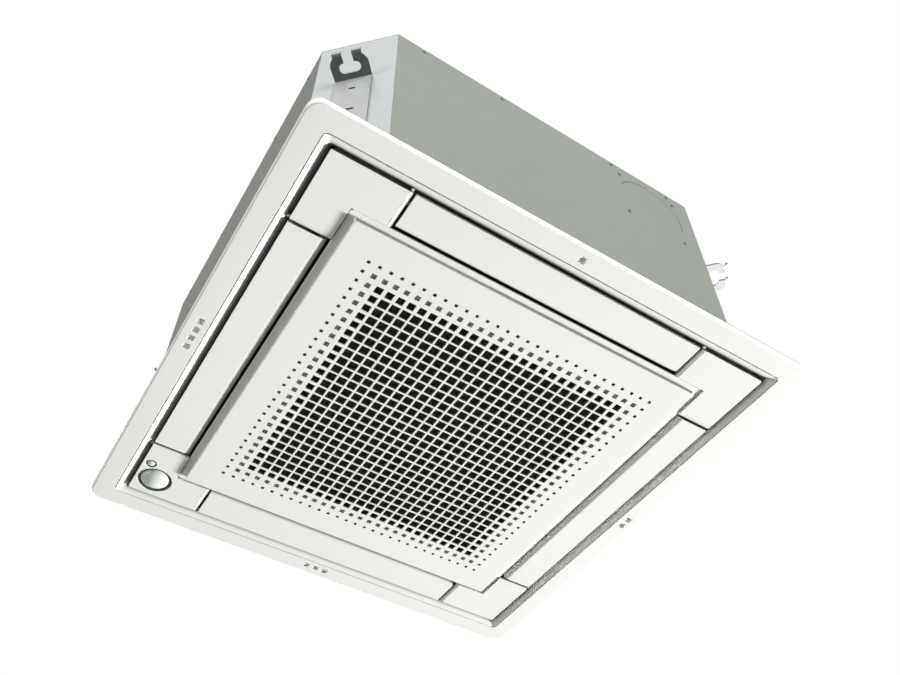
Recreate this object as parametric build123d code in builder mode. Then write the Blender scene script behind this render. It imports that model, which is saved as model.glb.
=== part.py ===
"""Compact four-way ceiling cassette air conditioner with a square flush panel.

Units are millimetres and +Z points up. The origin is the middle of the panel in
the ceiling plane: the panel hangs below z = 0 and the casing stands above it.
Sides are named by where they face: right +X, rear +Y, left -X, front -Y.
"""
import os
from math import cos, radians, sin, sqrt

from build123d import *

os.makedirs("parts", exist_ok=True)

# ---------------------------------------------------------------- panel sizes
fit_gap = 0.3                 # assembly gap between pieces that only rest together
running_gap = 0.05            # radial clearance of a turning shaft
panel_half = 310.0            # the 620 mm square panel
panel_corner_radius = 16.0
rim_depth = 7.5               # outer rim below the ceiling
rim_round = 3.5
border_width = 25.0           # flat border from the rim to the bevel
border_half = panel_half - border_width
border_depth = 8.8
border_radius = 5.0
bevel_width = 9.3
bevel_half = border_half - bevel_width    # upper edge of the bevel round the recess
bevel_depth = 4.1
skin = 2.5                    # wall of the moulded panel
frame_wall = 3.0
frame_top = 35.0              # the frame reaches up into the ceiling opening
deck_height = 17.0            # underside of the corner decks
rib_pitch = 60.0
rib_width = 2.0
mark_size = 6.0               # raised squares that number the four outlets
mark_pitch = 13.2
mark_half = panel_half - 14.0
mark_height = 0.6
panel_screw_radius = 2.6

# ---------------------------------------------------------------- suction grille
grille_face_half = 220.1
grille_face_depth = 10.8
grille_bevel = 5.4
grille_lip_half = grille_face_half + grille_bevel
grille_lip_depth = 6.3
grille_skin = 2.5
cell_pitch = 13.0
cell_rows = 25
cell_open = 10.3
edge_cell_open = 8.6
lattice_depth = 5.0
ring_half = grille_lip_half - 1.0         # inner ring round the suction opening
ring_bottom = 6.0             # clears the grille's lip when it hangs open
flange_width = 19.5
flange_half = ring_half - flange_width    # clear suction opening
hinge_y = ring_half - 9.5
hinge_z = -5.0
hinge_x = 120.0
hinge_pin_radius = 1.5
hinge_arm_radius = 3.0
hinge_stem = 5.0
knuckle_width = 7.0
arm_width = 12.0
latch_ledge_y = ring_half - 8.0           # inner edge of the ledge that a latch hooks on
latch_ledge_z = ring_bottom + 4.0
latch_ledge_thickness = 2.0
latch_travel = 4.0
latch_half_width = 11.0
latch_depth = 16.5
latch_hook_thickness = 2.0
latch_hook_half_width = 6.0
latch_guide = 2.7
grille_rib_half = hinge_y - 8.0
grille_rib_width = 2.0
filter_half = 194.0
filter_height = 6.0
filter_rim = 8.0
filter_rib_count = 5

# ---------------------------------------------------------------- air flaps
panel_groove = 3.9            # dark groove between the bevel and the flaps
grille_groove = 4.5           # gap between the flaps and the grille
flap_inner_half = grille_lip_half + grille_groove
flap_outer_half = bevel_half - panel_groove
flap_half_length = 179.8
flap_end_room = 3.7
outlet_half_length = flap_half_length + flap_end_room
flap_depth = 7.6              # face of flaps and corner covers below the ceiling
flap_skin = 2.5
flap_edge = 2.0
flap_lip_height = 5.0
flap_axis_half = flap_inner_half + 15.0
flap_axis_height = 5.5
flap_arm_radius = 5.0
flap_arm_width = 14.0
shaft_radius = 2.5
bush_radius = 4.5
bush_flange = 1.0
motor_radius = 10.0
motor_length = 15.0
motor_ear = 14.0              # screw distance from the flap axis
motor_ear_thickness = 1.5
screw_radius = 1.25

# ---------------------------------------------------------------- corner covers
seam_gap = 3.0
cover_seam = flap_half_length + seam_gap  # edge next to the flap
cover_inner_half = grille_lip_half + 0.7
cover_slope_width = 4.0
cover_slope_height = 0.9
leg_size = 8.0
leg_thickness = 3.0
sensor_place = (244.0, 248.0)   # in the corner's own quarter
sensor_radius = 20.5
sensor_depth = 14.0
lens_place = (218.0, 262.0)
lens_radius = 6.2

# ---------------------------------------------------------------- casing sizes
body_half = 287.5             # the 575 mm square body
body_height = 260.0
corner_cut = 66.3             # each corner is cut off by this much
sheet = 1.2
seal_height = 3.0
body_bottom = frame_top + seal_height
body_top = body_bottom + body_height
casing_flange = 10.5
liner_thickness = 9.1
knockout_radius = 49.0
knockout_place = (149.5, 232.0)   # x and z on the front side
knockout_arc = (-21.0, 174.0)     # the cut part of its edge: start and sweep in degrees
knockout_screw_pitch = 88.0
edge_screws = (-186.0, -75.0, 94.0, 186.0)
panel_screw_half = body_half - 47.5

# ---------------------------------------------------------------- hangers
rod_half_pitch = 265.0        # suspension rods stand 530 mm apart
hanger_sheet = 2.3
hanger_half_width = 21.0
hanger_flange_z = 194.5
hanger_flange_length = 28.0
hanger_foot_z = 66.0
hanger_slot_width = 11.6      # takes M8 to M10 rods
hanger_slot_length = 24.4
hanger_lip_height = 6.0

# ---------------------------------------------------------------- heat exchanger and pan
coil_outer_half = 220.0
coil_thickness = 30.0
coil_radius = 60.0
coil_end = 140.0
insulation_thickness = 10.0
pan_wall_half = body_half - 10.8
pan_ledge_height = 5.0
pan_top = 84.0
trough_floor = 62.0
trough_inner_half = coil_outer_half - coil_thickness - 12.0
trough_outer_half = coil_outer_half + 4.0
pan_opening_half = trough_inner_half - 13.0
duct_inner_half = flap_inner_half + 0.5
duct_outer_half = flap_outer_half - 0.8
duct_half_length = flap_half_length + 0.2
gas_place = (205.0, 120.0)    # y and z where the pipe leaves the right side
gas_radius = 6.35
liquid_place = (186.0, 160.0)
liquid_radius = 3.175
pipe_end = body_half + 47.5   # x where both flare unions end
gas_thread_radius = 9.5       # 3/4-16 UNF flare thread
liquid_thread_radius = 5.55   # 7/16-20 UNF flare thread
thread_length = 15.0
union_length = 30.0

# ---------------------------------------------------------------- drain pump and float
pump_place = (214.0, -232.0)
pump_radius = 20.0
pump_shaft_radius = 2.0
sump_floor = 52.0
pump_body_low = sump_floor + 14.0
pump_body_high = pan_top + 66.0
pump_motor_height = 36.0
drain_place = (-150.0, 235.0)
drain_radius = 13.0
hose_radius = 6.0
float_place = (240.0, -200.0)
float_radius = 10.0
float_height = 13.7
float_stem_radius = 3.0
float_travel = 12.0

# ---------------------------------------------------------------- fan and motor
fan_radius = 165.0
fan_low = 98.0
fan_high = 214.5
fan_plate = 2.5
blade_count = 7
blade_low = fan_low + 14.5
hub_radius = 22.0
fan_shaft_radius = 5.0
throat_radius = 115.0
bell_radius = 150.0
bell_wall = 2.5
bell_plate_half = pan_opening_half + 11.0
bell_top = fan_low + 10.0
fan_motor_radius = 52.0
fan_motor_low = fan_high + 13.5
fan_motor_high = 282.0
motor_bolt_circle = fan_motor_radius + 14.0
motor_bolt_radius = 3.0

# ---------------------------------------------------------------- control box
box_x = (flange_half - 53.0, flange_half - 2.0)
box_half_length = 145.0
box_low = 11.0
box_sheet = 1.0
cable_places = ((-60.0, 110.0), (-100.0, 110.0))
grommet_radius = 10.0

diagonal = (2 * body_half - corner_cut) / sqrt(2)   # from the axis to a cut corner
SIDES = {"right": 0, "rear": 90, "left": 180, "front": 270}
CORNERS = {"rear_right": 0, "rear_left": 90, "front_left": 180, "front_right": 270}


# ---------------------------------------------------------------- helpers
def save(builder, name, angle=0):
    """Label a finished piece, turn it about the unit's axis and write it."""
    piece = builder.part.rotate(Axis.Z, angle) if angle else builder.part
    piece.label = name
    export_step(piece, f"parts/{name}.step")


def square_prism(half, radius, low, high, mode=Mode.ADD):
    with BuildSketch(Plane.XY.offset(low)) as outline:
        RectangleRounded(2 * half, 2 * half, radius)
    extrude(outline.sketch, amount=high - low, mode=mode)


def square_ring(outer, inner, radius, low, high, mode=Mode.ADD):
    with BuildSketch(Plane.XY.offset(low)) as outline:
        RectangleRounded(2 * outer, 2 * outer, radius)
        Rectangle(2 * inner, 2 * inner, mode=Mode.SUBTRACT)
    extrude(outline.sketch, amount=high - low, mode=mode)


def square_loft(low, low_half, low_radius, high, high_half, high_radius, mode=Mode.ADD):
    with BuildSketch(Plane.XY.offset(low)) as bottom:
        RectangleRounded(2 * low_half, 2 * low_half, low_radius)
    with BuildSketch(Plane.XY.offset(high)) as top:
        RectangleRounded(2 * high_half, 2 * high_half, high_radius)
    loft([bottom.sketch.face(), top.sketch.face()], mode=mode)


def block(x_range, y_range, z_range, mode=Mode.ADD):
    """A box between two corners, given as a range on each axis."""
    ranges = (x_range, y_range, z_range)
    middle = tuple(sum(pair) / 2 for pair in ranges)
    size = [abs(pair[1] - pair[0]) for pair in ranges]
    with Locations(middle):
        Box(*size, mode=mode)


def rod(place, radius, low, high, mode=Mode.ADD):
    """An upright round bar or hole."""
    with BuildSketch(Plane.XY.offset(low)) as outline:
        with Locations(place):
            Circle(radius)
    extrude(outline.sketch, amount=high - low, mode=mode)


def rod_along_x(y, z, radius, start, end, mode=Mode.ADD):
    with BuildSketch(Plane.YZ.offset(start)) as outline:
        with Locations((y, z)):
            Circle(radius)
    extrude(outline.sketch, amount=end - start, mode=mode)


def rod_along_y(x, z, radius, start, end, mode=Mode.ADD):
    with BuildSketch(Plane(origin=(x, start, z), z_dir=(0, 1, 0))) as outline:
        Circle(radius)
    extrude(outline.sketch, amount=end - start, mode=mode)


def hex_along_x(y, z, across, start, end, mode=Mode.ADD):
    with BuildSketch(Plane.YZ.offset(start)) as outline:
        with Locations((y, z)):
            RegularPolygon(across / sqrt(3), 6)
    extrude(outline.sketch, amount=end - start, mode=mode)


def body_prism(inset, low, high, mode=Mode.ADD):
    """The body's square with cut corners, set in from the casing's outside."""
    half = body_half - inset
    cut = corner_cut - inset * (2 - sqrt(2))
    flat = half - cut
    points = [(half, -flat), (half, flat), (flat, half), (-flat, half),
              (-half, flat), (-half, -flat), (-flat, -half), (flat, -half)]
    with BuildSketch(Plane.XY.offset(low)) as outline:
        Polygon(*points, align=None)
    extrude(outline.sketch, amount=high - low, mode=mode)


def side_profile(angle=0, offset=0.0):
    """Sketch plane across one side: x runs outwards, y runs up."""
    out = Vector(cos(radians(angle)), sin(radians(angle)), 0)
    along = Vector(-out.Y, out.X, 0)
    return Plane(origin=along * offset, x_dir=out, z_dir=-along)


def rounded_corner_points(low, high):
    return [(low, low), (high, low), (high, high), (low, high)]


# ---------------------------------------------------------------- panel frame
def border_level(half):
    """Depth of the sloping border face at a distance from the axis."""
    slope = (border_depth - rim_depth) / (panel_half - rim_round - border_half)
    return -rim_depth - slope * (panel_half - rim_round - half)


def add_outlet_marks():
    """One to four small raised squares number the outlets."""
    marks = {"front": 1, "right": 2, "rear": 3, "left": 4}
    for side, count in marks.items():
        plane = Plane.XY.rotated((0, 0, SIDES[side])).offset(border_level(mark_half) - mark_height)
        with BuildSketch(plane) as squares:
            with Locations((mark_half, 0)):
                with GridLocations(0, mark_pitch, 1, count):
                    Rectangle(mark_size, mark_size)
        extrude(squares.sketch, amount=mark_height + skin / 2)


def add_end_walls():
    """Walls that close each outlet's ends and carry the flap bearings."""
    low = -(flap_depth - flap_skin)
    inner = ring_half - frame_wall / 2
    outer = bevel_half + frame_wall / 2
    outline = [(ring_half + frame_wall, low), (bevel_half - 1, low), (bevel_half - 1, low + 2),
               (outer, low + 2), (outer, frame_top), (inner, frame_top),
               (inner, ring_bottom), (ring_half + frame_wall, ring_bottom)]
    for angle in SIDES.values():
        for end in (-1, 1):
            with BuildSketch(side_profile(angle, end * outlet_half_length)) as wall:
                Polygon(*outline, align=None)
                with Locations((flap_axis_half, flap_axis_height)):
                    Circle(bush_radius, mode=Mode.SUBTRACT)
            extrude(wall.sketch, amount=-end * frame_wall)


def cut_motor_screw_holes():
    for angle in SIDES.values():
        with BuildSketch(side_profile(angle, outlet_half_length)) as holes:
            with Locations((flap_axis_half, flap_axis_height)):
                with GridLocations(2 * motor_ear, 0, 2, 1):
                    Circle(screw_radius)
        extrude(holes.sketch, amount=-frame_wall, mode=Mode.SUBTRACT)


def add_corner_decks():
    with BuildSketch(Plane.XY.offset(deck_height)) as deck:
        for corner in (0, 90, 180, 270):
            with Locations(Location((0, 0, 0), (0, 0, corner))):
                Polygon(*rounded_corner_points(outlet_half_length, bevel_half + 1), align=None)
        Rectangle(2 * (ring_half - 1), 2 * (ring_half - 1), mode=Mode.SUBTRACT)
        with GridLocations(2 * panel_screw_half, 2 * panel_screw_half, 2, 2):
            Circle(panel_screw_radius, mode=Mode.SUBTRACT)
    extrude(deck.sketch, amount=frame_wall)


def add_hinge_arms():
    """Two arms hang from the ring at the rear and hold the grille's pins."""
    root = ring_bottom + frame_wall
    stem_face = hinge_y - fit_gap
    stem_back = stem_face - hinge_stem
    outline = [(stem_face, hinge_z), (stem_face, root), (ring_half - 1, root),
               (ring_half - 1, root + frame_wall), (stem_back, root + frame_wall),
               (stem_back, hinge_z)]
    for x in (-hinge_x, hinge_x):
        with BuildSketch(Plane.YZ.offset(x - arm_width / 2)) as arm:
            Polygon(*outline, align=None)
            with Locations((hinge_y, hinge_z)):
                Circle(hinge_arm_radius)
                Circle(hinge_pin_radius + running_gap, mode=Mode.SUBTRACT)
        extrude(arm.sketch, amount=arm_width)


def add_latch_ledges():
    for x in (-hinge_x, hinge_x):
        inner = latch_ledge_y
        block((x - latch_hook_half_width - 2, x + latch_hook_half_width + 2),
              (-(ring_half - frame_wall / 2), -inner),
              (latch_ledge_z, latch_ledge_z + latch_ledge_thickness))


with BuildPart() as panel_frame:
    square_prism(panel_half, panel_corner_radius, -rim_depth, 0)
    fillet(panel_frame.edges().group_by(Axis.Z)[0], rim_round)
    square_loft(-border_depth, border_half, border_radius,
                -rim_depth, panel_half - rim_round, panel_corner_radius - rim_round)
    square_loft(-border_depth, border_half, border_radius,
                -bevel_depth, bevel_half, frame_wall, mode=Mode.SUBTRACT)
    square_prism(bevel_half, frame_wall, -bevel_depth, 0, mode=Mode.SUBTRACT)
    square_ring(panel_half - frame_wall, border_half - 1, panel_corner_radius - frame_wall,
                -(rim_depth - skin), 0, mode=Mode.SUBTRACT)
    square_ring(bevel_half + frame_wall, bevel_half, 2 * frame_wall, -1, frame_top)
    square_ring(ring_half, ring_half - frame_wall, frame_wall, ring_bottom, frame_top)
    square_ring(ring_half, flange_half, frame_wall, frame_top - frame_wall, frame_top)
    add_end_walls()
    add_corner_decks()
    cut_motor_screw_holes()
    add_hinge_arms()
    add_latch_ledges()
    add_outlet_marks()
    for angle in SIDES.values():
        with BuildSketch(Plane.XY.rotated((0, 0, angle)).offset(-(rim_depth - skin / 2))):
            with Locations(((panel_half + border_half) / 2 - 1, 0)):
                with GridLocations(0, rib_pitch, 1, 9):
                    Rectangle(panel_half - border_half, rib_width)
        extrude(amount=rim_depth - skin / 2)
save(panel_frame, "panel_frame")

with BuildPart() as panel_seal:
    square_ring(bevel_half + frame_wall, bevel_half - 1, frame_wall, frame_top, body_bottom)
    square_ring(ring_half, ring_half - 7, frame_wall, frame_top, body_bottom)
save(panel_seal, "panel_seal")


# ---------------------------------------------------------------- corner covers
def cut_seam_slope(along_x):
    """The cover falls away slightly towards the flap beside it."""
    seam = cover_seam
    face = -flap_depth
    corners = [(seam, face), (seam + cover_slope_width, face), (seam, face + cover_slope_height)]
    plane = Plane.XZ if along_x else Plane.YZ
    with BuildSketch(plane) as wedge:
        Polygon(*corners, align=None)
    extrude(wedge.sketch, amount=2 * panel_half, both=True, mode=Mode.SUBTRACT)


def corner_cover(name, angle, with_sensor=False):
    back = -(flap_depth - flap_skin)
    with BuildPart() as cover:
        with BuildSketch(Plane.XY.offset(-flap_depth)):
            with BuildLine():
                Polyline((cover_inner_half, cover_seam), (flap_outer_half, cover_seam),
                         (flap_outer_half, flap_outer_half), (cover_seam, flap_outer_half),
                         (cover_seam, cover_inner_half), (cover_inner_half, cover_inner_half),
                         close=True)
            make_face()
        extrude(amount=flap_skin)
        outer_corner = cover.edges().filter_by(Axis.Z).sort_by_distance((panel_half, panel_half, 0))[0]
        fillet(outer_corner, flap_edge)
        cut_seam_slope(True)
        cut_seam_slope(False)
        skirt = outlet_half_length + frame_wall + 1
        block((flap_outer_half - flap_edge, flap_outer_half), (skirt, flap_outer_half - 4), (back, 0))
        block((skirt, flap_outer_half - 4), (flap_outer_half - flap_edge, flap_outer_half), (back, 0))
        far = flap_outer_half - leg_size
        legs = [(far, cover_inner_half + 5.8), (cover_seam + 22.2, far), (far, far)]
        for place in legs:
            block((place[0] - leg_size / 2, place[0] + leg_size / 2),
                  (place[1] - leg_thickness / 2, place[1] + leg_thickness / 2), (back, deck_height))
        if with_sensor:
            rod(sensor_place, sensor_radius + fit_gap, -flap_depth - 1, 2, mode=Mode.SUBTRACT)
            rod(lens_place, lens_radius + fit_gap, -flap_depth - 1, 2, mode=Mode.SUBTRACT)
    save(cover, name, angle)


for corner_name, corner_angle in CORNERS.items():
    corner_cover(f"corner_cover_{corner_name}", corner_angle, corner_name == "rear_left")

sensor_turn = CORNERS["rear_left"]
with BuildPart() as sensor_housing:
    rod(sensor_place, sensor_radius, -(flap_depth - 1), -flap_depth + sensor_depth)
    rod(lens_place, lens_radius, -(flap_depth - 1), -flap_depth + sensor_depth)
    for place, bore in ((sensor_place, sensor_radius - 2.5), (lens_place, lens_radius - 1.5)):
        rod(place, bore, -flap_depth, -flap_depth + 3, Mode.SUBTRACT)
        rod(place, bore - 1.5, -flap_depth, -flap_depth + sensor_depth - 2, Mode.SUBTRACT)
    top = -flap_depth + sensor_depth
    block((lens_place[0], sensor_place[0] + 8), (sensor_place[1] - 4, lens_place[1] + 2), (top - 1.5, top))
    rod((sensor_place[0] + 14, sensor_place[1] + 6), leg_thickness / 2, top, deck_height)
    rod((lens_place[0], lens_place[1]), leg_thickness / 2, top, deck_height)
save(sensor_housing, "sensor_housing", sensor_turn)

with BuildPart() as sensor_dome:
    with BuildSketch(Plane.XZ.offset(-sensor_place[1])):
        with BuildLine():
            ThreePointArc((sensor_place[0], -flap_depth - 3.2),
                          (sensor_place[0] + 10.4, -flap_depth - 2.3),
                          (sensor_place[0] + sensor_radius - 2.8, -flap_depth + 0.6))
            Line((sensor_place[0] + sensor_radius - 2.8, -flap_depth + 0.6),
                 (sensor_place[0] + sensor_radius - 2.8, -flap_depth + 3))
            Line((sensor_place[0] + sensor_radius - 2.8, -flap_depth + 3),
                 (sensor_place[0], -flap_depth + 3))
            Line((sensor_place[0], -flap_depth + 3), (sensor_place[0], -flap_depth - 3.2))
        make_face()
    revolve(axis=Axis((sensor_place[0], sensor_place[1], 0), (0, 0, 1)))
save(sensor_dome, "sensor_dome", sensor_turn)

with BuildPart() as sensor_lens:
    rod(lens_place, lens_radius - 1.8, -flap_depth - 0.6, -flap_depth + 3)
    fillet(sensor_lens.edges().group_by(Axis.Z)[0], 0.8)
save(sensor_lens, "sensor_lens", sensor_turn)


# ---------------------------------------------------------------- air flaps
def air_flap(name, angle):
    face = -flap_depth
    back = face + flap_skin
    lip = face + flap_lip_height
    with BuildPart() as flap:
        with BuildSketch(side_profile()) as profile:
            with BuildLine():
                Polyline((flap_inner_half, face), (flap_outer_half, face),
                         (flap_outer_half, lip - 1), (flap_outer_half - flap_edge, lip - 1),
                         (flap_outer_half - flap_edge, back), (flap_inner_half + flap_edge, back),
                         (flap_inner_half + flap_edge, lip), (flap_inner_half, lip), close=True)
            make_face()
            fillet(profile.vertices().group_by(Axis.Y)[0].sort_by(Axis.X)[0], 3.4)
            fillet(profile.vertices().group_by(Axis.Y)[0].sort_by(Axis.X)[-1], 1.0)
        extrude(amount=flap_half_length, both=True)
        for end in (-1, 1):
            with BuildSketch(side_profile(0, end * (flap_half_length - flap_skin))):
                with Locations((flap_axis_half, flap_axis_height)):
                    Circle(flap_arm_radius)
                with Locations((flap_axis_half, (back + flap_axis_height) / 2 - 0.5)):
                    Rectangle(2 * flap_arm_radius, flap_axis_height - back + 1)
                with Locations((flap_axis_half, back + 1)):
                    Rectangle(flap_arm_width + 4, 3)
            extrude(amount=-end * flap_skin)
        rod_along_y(flap_axis_half, flap_axis_height, shaft_radius,
                    flap_half_length, outlet_half_length + frame_wall + 7)
        rod_along_y(flap_axis_half, flap_axis_height, shaft_radius,
                    -(outlet_half_length + frame_wall + 1), -flap_half_length)
    save(flap, f"flap_{name}", angle)


for side_name, side_angle in SIDES.items():
    air_flap(side_name, side_angle)

with BuildPart() as flap_bushes:
    for angle in SIDES.values():
        for end in (-1, 1):
            inside = end * (outlet_half_length - bush_flange)
            with BuildSketch(side_profile(angle, inside)):
                with Locations((flap_axis_half, flap_axis_height)):
                    Circle(bush_radius + 2)
                    Circle(shaft_radius + running_gap, mode=Mode.SUBTRACT)
            extrude(amount=-end * bush_flange)
            with BuildSketch(side_profile(angle, end * outlet_half_length)):
                with Locations((flap_axis_half, flap_axis_height)):
                    Circle(bush_radius)
                    Circle(shaft_radius + running_gap, mode=Mode.SUBTRACT)
            extrude(amount=-end * frame_wall)
save(flap_bushes, "flap_bushes")

motor_seat = outlet_half_length + frame_wall
with BuildPart() as flap_motors:
    for angle in SIDES.values():
        with BuildSketch(side_profile(angle, motor_seat)):
            with Locations((flap_axis_half, flap_axis_height)):
                Circle(motor_radius)
        extrude(amount=-motor_length)
        with BuildSketch(side_profile(angle, motor_seat)):
            with Locations((flap_axis_half, flap_axis_height)):
                SlotCenterToCenter(2 * motor_ear, 7)
        extrude(amount=-motor_ear_thickness)
        with BuildSketch(side_profile(angle, motor_seat)):
            with Locations((flap_axis_half, flap_axis_height)):
                Circle(shaft_radius + running_gap)
                with GridLocations(2 * motor_ear, 0, 2, 1):
                    Circle(screw_radius)
        extrude(amount=-8, mode=Mode.SUBTRACT)
save(flap_motors, "flap_motors")

with BuildPart() as flap_motor_screws:
    for angle in SIDES.values():
        for ear in (-motor_ear, motor_ear):
            with BuildSketch(side_profile(angle, motor_seat + motor_ear_thickness)):
                with Locations((flap_axis_half + ear, flap_axis_height)):
                    Circle(2 * screw_radius)
            extrude(amount=-1.8)
            with BuildSketch(side_profile(angle, outlet_half_length)):
                with Locations((flap_axis_half + ear, flap_axis_height)):
                    Circle(screw_radius)
            extrude(amount=-(frame_wall + motor_ear_thickness))
save(flap_motor_screws, "flap_motor_screws")

# ---------------------------------------------------------------- suction grille
grille_back = -(grille_face_depth - grille_skin)
lip_top = -(grille_lip_depth - 1)
lattice_half = cell_rows * cell_pitch / 2
latch_start = -(latch_ledge_y - 3.0)
latch_end = latch_start + latch_depth
latch_top = hinge_z + 1


def lattice_cells():
    """Square cells in rows, with smaller cells in the outermost row all round."""
    last = (cell_rows - 1) / 2
    wires = []
    for row in range(cell_rows):
        for column in range(cell_rows):
            x = (column - last) * cell_pitch
            y = (row - last) * cell_pitch
            on_edge = max(abs(column - last), abs(row - last)) == last
            size = edge_cell_open if on_edge else cell_open
            cell = Pos(x, y, 0) * Rectangle(size, size)
            wires.append(cell.wire())
    return wires


def lattice_face(half, level, cells):
    outer = Rectangle(2 * half, 2 * half).wire()
    return Pos(0, 0, level) * Face(outer, cells)


cells = lattice_cells()
lattice_solid = extrude(lattice_face(lattice_half + 3, -grille_face_depth, cells),
                        amount=lattice_depth, dir=(0, 0, 1))

with BuildPart() as suction_grille:
    square_loft(-grille_face_depth, grille_face_half, 5, -grille_lip_depth, grille_lip_half, 7)
    square_prism(grille_lip_half, 7, -grille_lip_depth, lip_top)
    square_loft(grille_back, grille_face_half - 0.6, 4, lip_top, grille_lip_half - 2.5, 5,
                mode=Mode.SUBTRACT)
    square_prism(lattice_half + 3, 0.5, -grille_face_depth, grille_back, mode=Mode.SUBTRACT)
    add(lattice_solid)
    square_ring(grille_rib_half, grille_rib_half - grille_rib_width, 1.5, grille_back - 1, latch_top)
    for x in (-hinge_x, hinge_x):
        for side in (-1, 1):
            near = x + side * (arm_width / 2 + 0.4)
            block((near, near + side * knuckle_width), (hinge_y - 3.8, hinge_y + 3.8),
                  (grille_back - 1, hinge_z + 3.4))
        rod_along_x(hinge_y, hinge_z, hinge_pin_radius, x - 20, x + 20, mode=Mode.SUBTRACT)
        for side in (-1, 1):
            near = x + side * (latch_half_width + fit_gap)
            block((near, near + side * latch_guide), (-latch_ledge_y, latch_end - 1),
                  (grille_back - 1, latch_top + 1.5))
        gap = latch_half_width + fit_gap
        block((x - gap, x + gap), (-grille_rib_half - 1, grille_rib_width - grille_rib_half + 1),
              (grille_back, latch_top + 0.5), mode=Mode.SUBTRACT)
save(suction_grille, "suction_grille")

with BuildPart() as hinge_pins:
    for x in (-hinge_x, hinge_x):
        reach = arm_width / 2 + 0.4 + knuckle_width
        rod_along_x(hinge_y, hinge_z, hinge_pin_radius, x - reach - 1, x + reach)
        rod_along_x(hinge_y, hinge_z, hinge_pin_radius + 1, x - reach - 2, x - reach)
save(hinge_pins, "grille_hinge_pins")


def grille_latch(name, x):
    """A sliding latch: at rest its hook stands free, and it slides out over the ledge."""
    hook_end = -(latch_ledge_y - 1.3)
    stem_start = -(latch_ledge_y - latch_travel) + 1
    stem_end = stem_start + 2.5
    hook_low = latch_ledge_z + latch_ledge_thickness + fit_gap
    hook_top = hook_low + latch_hook_thickness
    hook_sides = (x - latch_hook_half_width, x + latch_hook_half_width)
    with BuildPart() as latch:
        block((x - latch_half_width, x + latch_half_width), (latch_start, latch_end),
              (grille_back + 0.2, latch_top))
        block(hook_sides, (stem_start, stem_end), (latch_top, hook_top))
        block(hook_sides, (hook_end, stem_end), (hook_low, hook_top))
        block((hook_sides[0] - 1, hook_sides[1] + 1), (latch_end - 6, latch_end - 3),
              (latch_top, latch_top + 3))
    save(latch, name)


grille_latch("grille_latch_left", -hinge_x)
grille_latch("grille_latch_right", hinge_x)

filter_low = -grille_face_depth + lattice_depth + fit_gap
with BuildPart() as filter_frame:
    square_ring(filter_half, filter_half - filter_rim, 6, filter_low, filter_low + filter_height)
    span = 2 * (filter_half - filter_rim) + 2
    with BuildSketch(Plane.XY.offset(filter_low)):
        with GridLocations(0, 2 * filter_half / (filter_rib_count + 1), 1, filter_rib_count):
            Rectangle(span, 3)
        with GridLocations(2 * filter_half / (filter_rib_count + 1), 0, filter_rib_count, 1):
            Rectangle(3, span)
    extrude(amount=2)
save(filter_frame, "filter_frame")

with BuildPart() as filter_mesh:
    square_prism(filter_half - filter_rim - fit_gap, 2, filter_low + 2, filter_low + 2.8)
save(filter_mesh, "filter_mesh")

# ---------------------------------------------------------------- casing
inner_inset = sheet
liner_inset = sheet + 0.2 + liner_thickness
with BuildPart() as side_casing:
    body_prism(0, body_bottom, body_top - sheet)
    body_prism(inner_inset, body_bottom + sheet, body_top, mode=Mode.SUBTRACT)
    body_prism(casing_flange, body_bottom, body_top, mode=Mode.SUBTRACT)
    knockout_middle = (knockout_place[0], -body_half, knockout_place[1])
    with BuildSketch(Plane(origin=knockout_middle, x_dir=(1, 0, 0), z_dir=(0, -1, 0))):
        with BuildLine():
            CenterArc((0, 0), knockout_radius + 0.4, *knockout_arc)
            CenterArc((0, 0), knockout_radius - 0.4, *knockout_arc)
            for angle in (knockout_arc[0], sum(knockout_arc)):
                end = Vector(cos(radians(angle)), sin(radians(angle)))
                Line(end * (knockout_radius - 0.4), end * (knockout_radius + 0.4))
        make_face()
    extrude(amount=-sheet, mode=Mode.SUBTRACT)
    for place, radius in ((gas_place, gas_radius + 8), (liquid_place, liquid_radius + 8),
                          (drain_place, drain_radius + 2)):
        rod_along_x(*place, radius, body_half - 5, body_half + 1, mode=Mode.SUBTRACT)
    for place in cable_places:
        rod_along_x(*place, grommet_radius, body_half - 5, body_half + 1, mode=Mode.SUBTRACT)
save(side_casing, "side_casing")

with BuildPart() as top_plate:
    body_prism(0, body_top - sheet, body_top)
    with BuildSketch(Plane.XY.offset(body_top - 0.5)):
        Circle(112)
        Circle(106, mode=Mode.SUBTRACT)
        with PolarLocations(180, 4, start_angle=45):
            SlotOverall(110, 8)
    extrude(amount=0.5, mode=Mode.SUBTRACT)
save(top_plate, "top_plate")

pipe_holes = ((gas_place, gas_radius + 8), (liquid_place, liquid_radius + 8),
              (drain_place, drain_radius + 1), (cable_places[0], grommet_radius),
              (cable_places[1], grommet_radius))
liner_low = body_bottom + sheet + pan_ledge_height + 0.2
with BuildPart() as foam_liner:
    body_prism(sheet + 0.2, liner_low, body_top - sheet)
    body_prism(liner_inset, liner_low, body_top, mode=Mode.SUBTRACT)
    for place, radius in pipe_holes:
        rod_along_x(*place, radius, body_half - 20, body_half, mode=Mode.SUBTRACT)
save(foam_liner, "foam_liner")

insulation_low = body_top - sheet - insulation_thickness
with BuildPart() as top_insulation:
    body_prism(liner_inset + fit_gap, insulation_low, body_top - sheet)
    rod((0, 0), 86, insulation_low, body_top, mode=Mode.SUBTRACT)
save(top_insulation, "top_insulation")


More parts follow.
